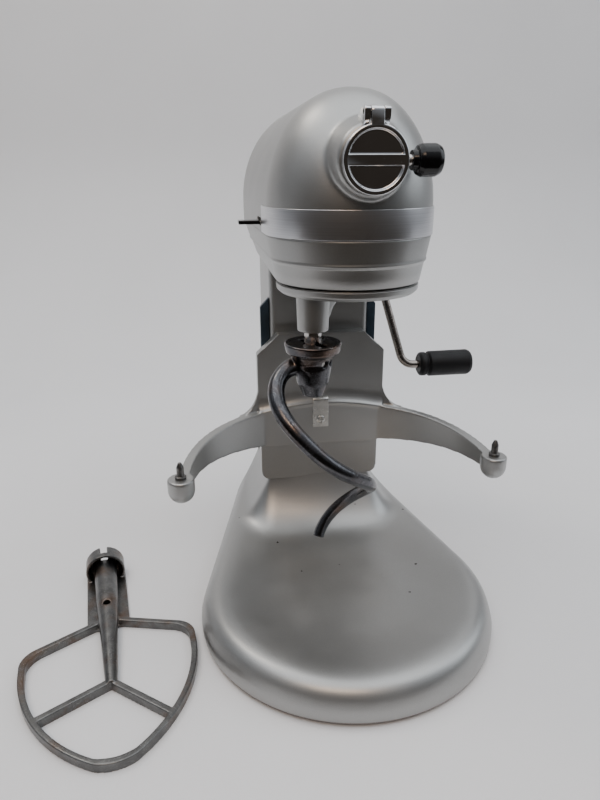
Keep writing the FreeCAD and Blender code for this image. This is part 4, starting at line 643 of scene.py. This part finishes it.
def cast_over(name, solids, grain_size, passes, corner=60):
    """Run overlapping solids together the way a casting does, with softened edges and coves."""
    bpy.ops.object.select_all(action="DESELECT")
    for solid in solids:
        solid.select_set(True)
    bpy.context.view_layer.objects.active = solids[0]
    if len(solids) > 1:
        bpy.ops.object.join()
    piece = solids[0]
    piece.name = piece.data.name = name
    remesh = piece.modifiers.new("cast", "REMESH")
    remesh.mode, remesh.voxel_size = "VOXEL", grain_size * MM
    soften = piece.modifiers.new("soften", "SMOOTH")
    soften.factor, soften.iterations = 0.5, passes
    settle(piece)
    piece.data.polygons.foreach_set("use_smooth", [True] * len(piece.data.polygons))
    return piece


boss = lathe("tool", [(0, -66), (21.2, -66), (22.2, -65), (27, -44), (28.5, -38), (28.5, -12), (0, -12)],
             (0, 0, 371.6), "Y", 96)
housing = cast_over("head_housing", [closed_form("tool", dome_rings(0, 318.0)), boss], 1.5, 7)
hollow = closed_form("tool", dome_rings(4.0, 316.0))
carve(hollow, [lathe("tool", [(0, -80), (23, -80), (23, -24), (0, -24)], (0, 0, 371.6), "Y", 64)])
carve(housing, [hollow, block(-100, 100, -100, 260, 300, SEAM + 0.25),
                block(-100, 100, 204.8, 260, 250, 450),
                lathe("tool", [(0, -90), (19.2, -90), (19.2, -66), (17.5, -64.6), (17.5, -42), (0, -42)],
                      (0, 0, 371.6), "Y", 96),
                lathe("tool", [(0, -50), (14.05, -50), (14.05, -20), (0, -20)], (0, 0, 371.6), "Y", 64),
                lathe("tool", [(0, 10), (3.55, 10), (3.55, 60), (0, 60)], (0, -60, 371.6), "X", 24),
                block(-80, -48, 22, 52, 327, 333, 1.5, "X")], corner=50)
fit_out(housing, enamel, "stand", "painted_casting", "upper_housing")

all_rings = skirt_rings(0, bead_profile[:-3] + [(321.6, 0.1)]) + dome_rings(0, 324.0)
rear_cover = closed_form("rear_cover_casting", all_rings, 50)
carve(rear_cover, [block(-100, 100, 205.0, 260, 250, 450)], "INTERSECT", 50)
liner = closed_form("tool", skirt_rings(4.0, [(FLOOR, 0), (SEAM, 0)]) + dome_rings(4.0, 324.0))
carve(liner, [lathe("tool", [(0, 214), (6, 214), (6, 240), (0, 240)], (0, 0, 375), "Y", 32)])
carve(rear_cover, [liner] + [block(-26, 26, 208, 250, 331 + 7 * k, 333.6 + 7 * k, 1.29, "Y") for k in range(5)]
      + [lathe("tool", [(0, 224), (4.8, 224), (4.8, 260), (0, 260)], (0, 0, 375), "Y", 32),
         lathe("tool", [(0, 200), (2.55, 200), (2.55, 230), (0, 230)], (0, 0, 375), "Y", 24)], corner=50)
fit_out(rear_cover, enamel, "stand", "painted_casting", "rear_cover")
dress("rear_cover_screw", zinc, 0.3)

# ---- trim band ----
# A strip of brushed aluminium wrapped round the front of the head over the seam, its long edges
# rolled in; left plain.

brushed, given, result = effect_group("brushed", [("Fine", 5200.0), ("Along", 14.0)], ["Shade", "Height"])
place = wire(brushed, "ShaderNodeTexCoord")["Object"]
parts = wire(brushed, "ShaderNodeSeparateXYZ", {0: place})
lines = [wire(brushed, "ShaderNodeMath", {0: parts[0], 1: given["Along"]}, operation="MULTIPLY")[0],
         wire(brushed, "ShaderNodeMath", {0: parts[1], 1: given["Along"]}, operation="MULTIPLY")[0],
         wire(brushed, "ShaderNodeMath", {0: parts[2], 1: given["Fine"]}, operation="MULTIPLY")[0]]
drawn = wire(brushed, "ShaderNodeCombineXYZ", {0: lines[0], 1: lines[1], 2: lines[2]})[0]
streak = wire(brushed, "ShaderNodeTexNoise", {"Vector": drawn, "Scale": 1.0, "Detail": 3.0})[0]
brushed.links.new(spread(brushed, streak, 0.25, 0.75, 0.84, 1.1), result["Shade"])
brushed.links.new(streak, result["Height"])
trim = Finish("trim_aluminium", (0.70, 0.70, 0.72), 1.0, 0.30)
lay = trim.effect(brushed, Fine=5200.0, Along=14.0)
trim.feed("Base Color", trim.shade(lay.outputs["Shade"]))
trim.bump(lay.outputs["Height"], 0.00003, 0.5)
section = rounded([(60.05, 323.3), (60.9, 323.3), (60.9, 342.4), (60.05, 342.4)], (0.35, 0.35), 4)
strip, stations = [], 0
slope = 4.0 / 167.0
for r, z in section:
    flat, normals = hull_outline([(0, 0, r), (0, 82, r + 82 * slope)], (96, 4), (30, 30))
    keep = flat[:, 1] < 22.0
    order = np.argsort(np.arctan2(flat[keep][:, 0], -(flat[keep][:, 1] - 60)))
    line = flat[keep][order]
    stations = len(line)
    strip.append(np.column_stack([line, np.full(stations, z)]))
faces = [(s * stations + k, s * stations + k + 1, ((s + 1) % len(strip)) * stations + k + 1,
          ((s + 1) % len(strip)) * stations + k) for s in range(len(strip)) for k in range(stations - 1)]
faces += [tuple(s * stations for s in range(len(strip))),
          tuple(s * stations + stations - 1 for s in reversed(range(len(strip))))]
band_piece = new_piece("trim_strip", np.array(strip).reshape(-1, 3), faces, 40)
fit_out(band_piece, trim, "stand", "trim_aluminium", "trim_band")

# ---- attachment hub ----
# The hub's mouth has a chrome-plated flap on a hinge at its top, and a black clamp knob on the
# right whose steel stem reaches the bore. The square drive socket turns in a bearing behind it.

chrome = Finish("chrome_plate", (0.72, 0.72, 0.73), 1.0, 0.09)
wipe = chrome.effect(cloudy, Scale=60.0, Low=0.05, High=0.16)
chrome.feed("Roughness", wipe.outputs[0])
film = chrome.effect(cloudy, Scale=25.0, Low=0.9, High=1.04)
chrome.feed("Base Color", chrome.shade(film.outputs[0]))
black = Finish("black_plastic", (0.004, 0.004, 0.005), 0.0, 0.12, Specular_IOR_Level=0.35)
mould = black.effect(cloudy, Scale=90.0, Low=0.08, High=0.2)
black.feed("Roughness", mould.outputs[0])
black.bump(mould.outputs[0], 0.0003, 0.15)

HUB_Z = 371.6
disc = lathe("hub_flap", rounded([(0, -71.6), (17.0, -71.6), (17.6, -73.5), (20.5, -73.5), (20.5, -66.5),
                                  (16.9, -66.5), (16.9, -62.5), (14.5, -62.5), (14.5, -67.5), (0, -67.5)],
                                 (0.8, 0.9, 1.2, 0.4, 0, 0.5, 0.5, 0)), (0, 0, HUB_Z), "Y", 128)
ridge_section = rounded([(-4.2, -71.0), (-3.1, -73.3), (3.1, -73.3), (4.2, -71.0)], (0.9, 0.9), 5)
ridge = extrude("tool", [(y, z + HUB_Z) for z, y in ridge_section], -18.2, 18.2, "X", 40)
tab_section = rounded([(-73.4, HUB_Z + 18), (-73.6, 394), (-73.0, 400.4), (-69.2, 402.2), (-66.2, 400.6),
                       (-66.2, 396), (-68.8, 393.5), (-70.2, HUB_Z + 18)], (0, 3, 3.5, 2.5, 2, 2, 1, 0), 5)
tab = extrude("tool", tab_section, -3.95, 3.95, "X", 40, 0.5)
arch = [(3.9 + 7.0 * (1 - math.sin(a)), 388.4 + 4.6 * (1 - math.cos(a))) for a in np.radians(range(0, 91, 15))]
rim_arc = [(18.7 * math.sin(a), HUB_Z + 18.7 * math.cos(a)) for a in np.radians(range(-35, 36, 5))]
foot = extrude("tool", [(z, x) for x, z in rim_arc + arch + [(-x, z) for x, z in arch[::-1]]],
               -73.4, -70.0, "Y", 40, 0.4)
carve(disc, [ridge, tab, foot], "UNION", 40)
carve(disc, [lathe("tool", [(0, -12), (1.55, -12), (1.55, 12), (0, 12)], (0, -69.2, 398.3), "X", 24)], corner=40)
fit_out(disc, chrome, "cover", "chrome", "hub_cover")
for side, name in ((-1, "hinge_lug_left"), (1, "hinge_lug_right")):
    section = rounded([(-72.4, 394.4), (-72.8, 400.2), (-69.5, 401.9), (-60.0, 400.2), (-48.0, 391.5),
                       (-62.0, 388.0), (-68.6, 390.4)], (1.5, 2.6, 2.5, 3, 0.3, 0.5, 1), 5)
    inner, outer = sorted((side * 4.3, side * 8.0))
    lug = extrude(name, section, inner, outer, "X", 40, 0.6)
    fit_out(lug, chrome, "stand", "chrome", "upper_housing")
dress("hub_hinge_pin", chrome, 0.2)

knob_profile = rounded([(3.55, 0), (6.0, 0), (6.4, 3.2), (8.6, 3.6), (9.9, 6.2), (10.0, 15.4), (8.2, 19.2),
                        (0, 20), (0, 14), (3.55, 14), (3.55, 0)], (0.5, 0.6, 0.5, 1.6, 3.5, 3.2, 0, 0, 0), 6)
knob = lathe("clamp_knob", knob_profile, (25.5, -60, HUB_Z), "X", 96, 40)
fit_out(knob, black, "hub_knob", "black_plastic", "attachment_knob")
polished = Finish("polished_steel", (0.60, 0.58, 0.56), 1.0, 0.16)
rubbed = polished.effect(brushed, Fine=2600.0, Along=2600.0)
polished.feed("Base Color", polished.shade(rubbed.outputs["Shade"]))
wear = polished.effect(cloudy, Scale=180.0, Low=0.1, High=0.26)
polished.feed("Roughness", wear.outputs[0])
dress("knob_stem", polished, 0.3)

# ---- gear train ----
# Hardened steel gears run in grease: a worm on the motor shaft turns a bronze wheel, whose
# pinion drives the centre gear; bevels on top drive the hub, and a fixed ring guides the planet.

greased, given, result = effect_group("greased", [("Scale", 70.0)], ["Mask", "Height"])
place = wire(greased, "ShaderNodeTexCoord")["Object"]
blobs = wire(greased, "ShaderNodeTexNoise", {"Vector": place, "Scale": given["Scale"], "Detail": 3.0})[0]
greased.links.new(spread(greased, blobs, 0.52, 0.62), result["Mask"])
greased.links.new(blobs, result["Height"])


def in_grease(name, colour, metal, rough):
    """Bare machined metal with smears of amber grease."""
    steel = Finish(name, colour, metal, rough)
    turned_marks = steel.effect(brushed, Fine=3000.0, Along=600.0)
    grease = steel.effect(greased, Scale=70.0)
    tone = steel.shade(turned_marks.outputs["Shade"])
    steel.feed("Base Color", steel.mix("RGBA", grease.outputs["Mask"], tone, (0.32, 0.20, 0.07, 1)))
    steel.feed("Metallic", steel.mix("FLOAT", grease.outputs["Mask"], metal, 0.2))
    steel.feed("Roughness", steel.mix("FLOAT", grease.outputs["Mask"], rough, 0.12))
    steel.bump(grease.outputs["Height"], 0.0004, 0.5)
    return steel


gear_steel = in_grease("gear_steel", (0.42, 0.42, 0.43), 1.0, 0.3)
bearing_steel = in_grease("bearing_steel", (0.55, 0.55, 0.56), 1.0, 0.18)
bronze = in_grease("bronze", (0.60, 0.38, 0.16), 1.0, 0.33)
bracket_metal = Finish("bracket_casting", (0.42, 0.42, 0.41), 0.9, 0.5)
sand = bracket_metal.effect(cloudy, Scale=420.0, Low=0.75, High=1.15)
bracket_metal.feed("Base Color", bracket_metal.shade(sand.outputs[0]))
bracket_metal.bump(sand.outputs[0], 0.0003, 0.5)
for name in ("ring_gear", "centre_gear", "bevel_gear", "drive_pinion", "planetary_shaft", "planet_pinion",
             "worm_wheel_shaft", "hub_drive_socket"):
    dress(name, gear_steel)
for name in ("spindle_bearings", "hub_bearing", "motor_bearings"):
    dress(name, bearing_steel)
dress("worm_wheel", bronze)
dress("bearing_plate", bracket_metal, 0.3)

# ---- motor ----
# A universal motor lies along the head: laminated stator between two cast brackets, armature
# with commutator and worm, two carbon brushes in their holders, and a moulded nylon fan.

laminations = Finish("laminations", (0.24, 0.25, 0.27), 1.0, 0.42)
stack = wire(laminations.tree, "ShaderNodeTexCoord")["Object"]
waves = wire(laminations.tree, "ShaderNodeTexWave", {"Vector": stack, "Scale": 320.0, "Distortion": 0.4},
             bands_direction="Y")["Fac"]
laminations.feed("Base Color", laminations.mix("RGBA", waves, (0.12, 0.10, 0.09, 1), (0.34, 0.35, 0.37, 1)))
laminations.bump(waves, 0.0002, 0.6)
carbon = Finish("brush_carbon", (0.03, 0.03, 0.032), 0.1, 0.5)
soot = carbon.effect(cloudy, Scale=700.0, Low=0.6, High=1.7)
carbon.feed("Base Color", carbon.shade(soot.outputs[0]))
carbon.bump(soot.outputs[0], 0.0002, 0.3)
nylon = Finish("fan_nylon", (0.58, 0.56, 0.50), 0.0, 0.42, Subsurface_Weight=0.1)
tint = nylon.effect(cloudy, Scale=60.0, Low=0.88, High=1.05)
nylon.feed("Base Color", nylon.shade(tint.outputs[0]))
nylon.bump(tint.outputs[0], 0.0003, 0.2)
for name, finish in (("motor_stator", laminations), ("motor_brackets", bracket_metal),
                     ("motor_armature", laminations), ("carbon_brushes", carbon), ("brush_holders", bronze),
                     ("motor_fan", nylon)):
    dress(name, finish)

# ---- speed control ----
# A thin plated lever comes out of a slot on the left of the head, with a flat black tip; it turns
# on a pin in the gearcase floor.

dress("speed_pivot", polished)
dress("speed_lever", zinc, 0.2)
dress("speed_knob", black)

# ---- planetary ----
# The enamelled carrier turns inside a rounded collar under the head. Its boss holds the ground
# steel beater shaft with its cross pin, stiffened by a curved web.

collar = lathe("planetary_collar", rounded([(48.8, 289.8), (48.8, 282.0), (50.2, 281.9), (52.6, 284.2),
                                            (53.0, 288.2), (51.6, 288.5), (51.6, 289.9), (48.8, 289.9),
                                            (48.8, 289.8)], (0, 0.6, 2.2, 0.5, 0.2), 6),
               (0, 0, 0), "Z", 160, 50)
fit_out(collar, enamel, "stand", "painted_casting", "drip_ring")


def node_copy(name):
    """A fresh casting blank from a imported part's own shape."""
    mesh = cad[name].data.copy()
    blank = bpy.data.objects.new("blank", mesh)
    bpy.context.scene.collection.objects.link(blank)
    return blank


shaft_x, shaft_y = [c * 1000 for c in ((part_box("beater_shaft")[0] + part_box("beater_shaft")[1]) / 2)[:2]]
carrier = cast_over("planetary_carrier", [node_copy("planetary_housing")], 0.8, 4)
carve(carrier, [lathe("tool", [(0, 250), (6.4, 250), (6.4, 300), (0, 300)], (shaft_x, shaft_y, 0), around=48)],
      corner=50)
fit_out(carrier, enamel, "planetary", "painted_casting", "planetary_housing")
dress("beater_shaft", polished, 0.4)
dress("cross_pin", polished, 0.3)

# ---- dough hook ----
# A burnished cast aluminium spiral. The cupped collar keeps dough off the shaft, and the slotted
# socket below locks on the cross pin.

scratches, given, result = effect_group("scratches", [("Scale", 30.0), ("Share", 0.5)], ["Mask"])
place = wire(scratches, "ShaderNodeTexCoord")["Object"]
bent = wire(scratches, "ShaderNodeTexNoise", {"Vector": place, "Scale": 26.0, "Detail": 1.0})["Color"]
moved = wire(scratches, "ShaderNodeVectorMath", {0: place, 1: bent}, operation="ADD")[0]
turned_to = wire(scratches, "ShaderNodeMapping", {"Vector": moved, "Rotation": (0.6, 0.9, 0.4),
                                                  "Scale": (1.0, 14.0, 1.0)})[0]
hair = wire(scratches, "ShaderNodeTexNoise", {"Vector": turned_to, "Scale": given["Scale"], "Detail": 4.0})[0]
scratches.links.new(spread(scratches, hair, 0.54, 0.66), result["Mask"])


def burnished_metal(name, colour, stain, gloss_low, gloss_high):
    """Dark burnished aluminium with patches of brown tarnish, and paler where it has rubbed."""
    metal = Finish(name, colour, 1.0, 0.3)
    tarnish = metal.effect(cloudy, Scale=38.0, Low=-stain, High=stain)
    marks = metal.effect(scratches, Scale=34.0)
    clouds = metal.effect(cloudy, Scale=120.0, Low=0.75, High=1.2)
    tone = metal.mix("RGBA", tarnish.outputs[0], metal.shade(clouds.outputs[0]), (0.13, 0.075, 0.045, 1))
    rubbed_marks = metal.mix("FLOAT", marks.outputs["Mask"], 0.0, 0.35)
    tone = metal.mix("RGBA", rubbed_marks, tone, (0.38, 0.38, 0.39, 1))
    metal.feed("Base Color", tone)
    gloss = metal.effect(cloudy, Scale=70.0, Low=gloss_low, High=gloss_high)
    metal.feed("Roughness", gloss.outputs[0])
    metal.bump(clouds.outputs[0], 0.0003, 0.3)
    return metal


burnished = burnished_metal("burnished_aluminium", (0.078, 0.078, 0.084), 0.6, 0.17, 0.3)
hook = cast_over("hook_casting", [node_copy("dough_hook")], 0.65, 4)
fit_out(hook, burnished, "hook", "burnished_aluminium", "dough_hook")

# ---- yoke ----
# One painted aluminium casting slides on the rails. A plate carries a web with two curved arms,
# whose round ends hold the steel pins that the bowl hangs on; gibs hook it behind the rails.

PIN_X, ARM_TOP = 133.5, 134.0
dark_steel = Finish("dark_steel", (0.16, 0.155, 0.15), 1.0, 0.34)
blackening = dark_steel.effect(cloudy, Scale=320.0, Low=0.55, High=1.3)
dark_steel.feed("Base Color", dark_steel.shade(blackening.outputs[0]))
dark_steel.bump(blackening.outputs[0], 0.0001, 0.3)
WEB_ROOT, ROOT_Y, TIP_Y = 50.0, 101.5, 5.0


def arm_blank(side):
    """One arm: it leaves the web, bows outward and thins towards the round end."""
    start, end = np.array((WEB_ROOT, ROOT_Y)), np.array((PIN_X - 3, TIP_Y))
    chord = end - start
    middle_point = (start + end) / 2 + 0.17 * np.array((-chord[1], chord[0]))
    rings_here = []
    for t in np.linspace(0, 1, 36):
        at = (1 - t) ** 2 * start + 2 * t * (1 - t) * (2 * middle_point - (start + end) / 2) + t * t * end
        along = 2 * (1 - t) * (2 * middle_point - (start + end) / 2 - start) + 2 * t * (
            end - 2 * middle_point + (start + end) / 2)
        across = np.array((-along[1], along[0])) / np.linalg.norm(along)
        low, high = 114 + 7 * t, 150 - 16 * t ** 1.2
        for w, z in ((-4.5, low), (4.5, low), (4.5, high), (-4.5, high)):
            p = at + across * w
            rings_here.append((side * p[0], p[1], z))
    return new_piece("tool", rings_here, skin_faces(36, 4) + [(0, 1, 2, 3), (143, 142, 141, 140)])


plate = extrude("tool", [(z, x) for x, z in ((-61, 148), (61, 148), (61, 205.5), (41, 224), (-41, 224),
                                             (-61, 205.5))], 100, 111.6, "Y")
apron = block(-59, 59, 106, 111.6, 72.7, 160, 8, "Y")
arch_top = [(150 + 7 * (1 - (x / 56) ** 2), x) for x in np.linspace(56, -56, 33)]
web = extrude("tool", [(114, -56), (114, 56)] + arch_top, 95, 107, "Y")
cove = []
for x in np.linspace(-60.5, 60.5, 33):
    web_top = 150 + 7 * (1 - (min(abs(x), 56) / 56) ** 2)
    for y, rise in ((104, 18), (99.98, 18), (99.8, 12), (99.3, 7.8), (98.2, 4.2), (96.7, 1.6), (95.4, 0.4),
                    (94.3, 0.0), (94.3, -1.6), (95.4, -3.0), (104, -3.0)):
        cove.append((x, y, web_top + rise))
cove_fill = new_piece("tool", cove, skin_faces(33, 11) + [tuple(range(11)), tuple(range(32 * 11, 33 * 11))])
parts_of_yoke = [plate, apron, web, cove_fill]
for side in (-1, 1):
    flare = [(57, 145), (57, 174)]
    flare += [(60.9 + 19 * (1 - math.cos(a)), 174 - 26 * math.sin(a)) for a in np.radians(range(0, 91, 10))]
    flare.append((80, 145))
    outline = []
    for near in (0, 1):
        for x, z in flare:
            outline.append((side * x, (107 if near else 100.1) - 0.53 * max(x - 61, 0), z))
    n = len(flare)
    parts_of_yoke.append(new_piece("tool", outline, skin_faces(2, n) + [tuple(range(n)),
                                                                      tuple(range(2 * n - 1, n - 1, -1))]))
    ball = [(0, 113.0)] + [(11 * math.sin(a), 124 - 11 * math.cos(a)) for a in np.radians(range(10, 91, 10))]
    parts_of_yoke.append(lathe("tool", ball + [(11, 133.2), (10.4, 134.0), (0, 134.0)], (side * PIN_X, 0, 0)))
    parts_of_yoke.append(arm_blank(side))
yoke = cast_over("yoke_casting", parts_of_yoke, 1.0, 4)
pin_holes = [lathe("tool", [(0, ARM_TOP - 8), (3.05, ARM_TOP - 8), (3.05, 150), (0, 150)],
                   (side * PIN_X, 0, 0), around=32) for side in (-1, 1)]
carve(yoke, pin_holes + [lathe("tool", [(0, 90), (2.06, 90), (2.06, 102), (0, 102)], (-1.5, 0, 140), "Y", 24)],
      corner=50)
fit_out(yoke, enamel, "bowl_support", "painted_casting", "yoke")
dress("slide_gibs", zinc, 0.3)
dress("gib_screws", zinc, 0.2)
for side, name in ((-1, "bowl_pin_left"), (1, "bowl_pin_right")):
    profile = rounded([(0, -7), (2.98, -7), (2.98, 0), (4.6, 0.02), (4.6, 2.3), (3.0, 2.6), (3.0, 10), (1.4, 14),
                       (0, 14)], (0.2, 0, 0.2, 0.5, 0.3, 0.6, 0.6), 4)
    pin = lathe(name, profile, (side * PIN_X, 0, ARM_TOP), "Z", 40, 40)
    fit_out(pin, dark_steel, "bowl_support", "zinc_steel", *(["locating_pins"] if side < 0 else []))
dress("latch_bracket", zinc, 0.25)
head = lathe("latch_pan_screw", rounded([(0, 7), (1.98, 7), (1.98, 1.5), (1.98, 0.01), (4.0, 0), (4.0, -1.0),
                                         (2.6, -1.8), (0, -1.8)], (0.2, 0, 0, 0.1, 0.9, 1.0), 4),
             (-1.5, 93.5, 140), "Y", 48, 40)
carve(head, [block(-4.4, 1.4, 90.9, 92.7, 139.5, 140.5), block(-2.0, -1.0, 90.9, 92.7, 137.1, 142.9)], corner=40)
fit_out(head, zinc, "bowl_support", "zinc_steel", "latch_screw")

# ---- bowl lift ----
# A bent steel lever turns the shaft through the column. Its crank pin works in the slotted link
# that stands on the yoke's bracket; the lever's end wears a moulded grip.

lever_steel = Finish("lever_steel", (0.36, 0.32, 0.29), 1.0, 0.2)
smudge = lever_steel.effect(cloudy, Scale=110.0, Low=0.7, High=1.1)
lever_steel.feed("Base Color", lever_steel.shade(smudge.outputs[0]))
gloss = lever_steel.effect(cloudy, Scale=240.0, Low=0.13, High=0.32)
lever_steel.feed("Roughness", gloss.outputs[0])
for name in ("lift_lever", "lift_shaft"):
    dress(name, lever_steel)
for name in ("lift_crank", "crank_pin", "lift_link", "lift_bracket"):
    dress(name, zinc, 0.2)
dress("shaft_bush", bronze)
matte = Finish("grip_plastic", (0.005, 0.005, 0.006), 0.0, 0.5, Specular_IOR_Level=0.3)
pebble = matte.effect(cloudy, Scale=1500.0, Low=0.0, High=1.0)
matte.bump(pebble.outputs[0], 0.0002, 0.5)
rub = matte.effect(cloudy, Scale=60.0, Low=0.42, High=0.6)
matte.feed("Roughness", rub.outputs[0])
grip_profile = rounded([(4.06, 0), (9.4, 0), (11.6, 1.4), (12.2, 3), (12.2, 6.8), (11.2, 7.6), (10.6, 8.4),
                        (10.9, 9.4), (12.9, 10.8), (13.0, 51.5), (11.2, 55), (0, 55), (0, 49.2), (4.06, 49.2),
                        (4.06, 0)], (1.0, 1.0, 0.8, 0.8, 0.4, 0.4, 0.4, 0.8, 2.0, 2.6, 0, 0, 0), 4)
grip = lathe("lever_grip", grip_profile, (107, 131, 179), "X", 96, 45, flutes=36, flute_depth=0.12)
fit_out(grip, matte, "lift_handle", "grip_plastic", "lift_grip")

# ---- flat beater ----
# The spare flat beater lies beside the base: burnished cast aluminium, a shield-shaped rim with
# two spokes, and a round stem with a hooded socket.

beater_metal = burnished_metal("burnished_aluminium_beater", (0.135, 0.135, 0.132), 0.9, 0.27, 0.42)
beater = cast_over("flat_beater_casting", [node_copy("flat_beater")], 0.6, 3)
fit_out(beater, beater_metal, "beater", "burnished_aluminium", "flat_beater")
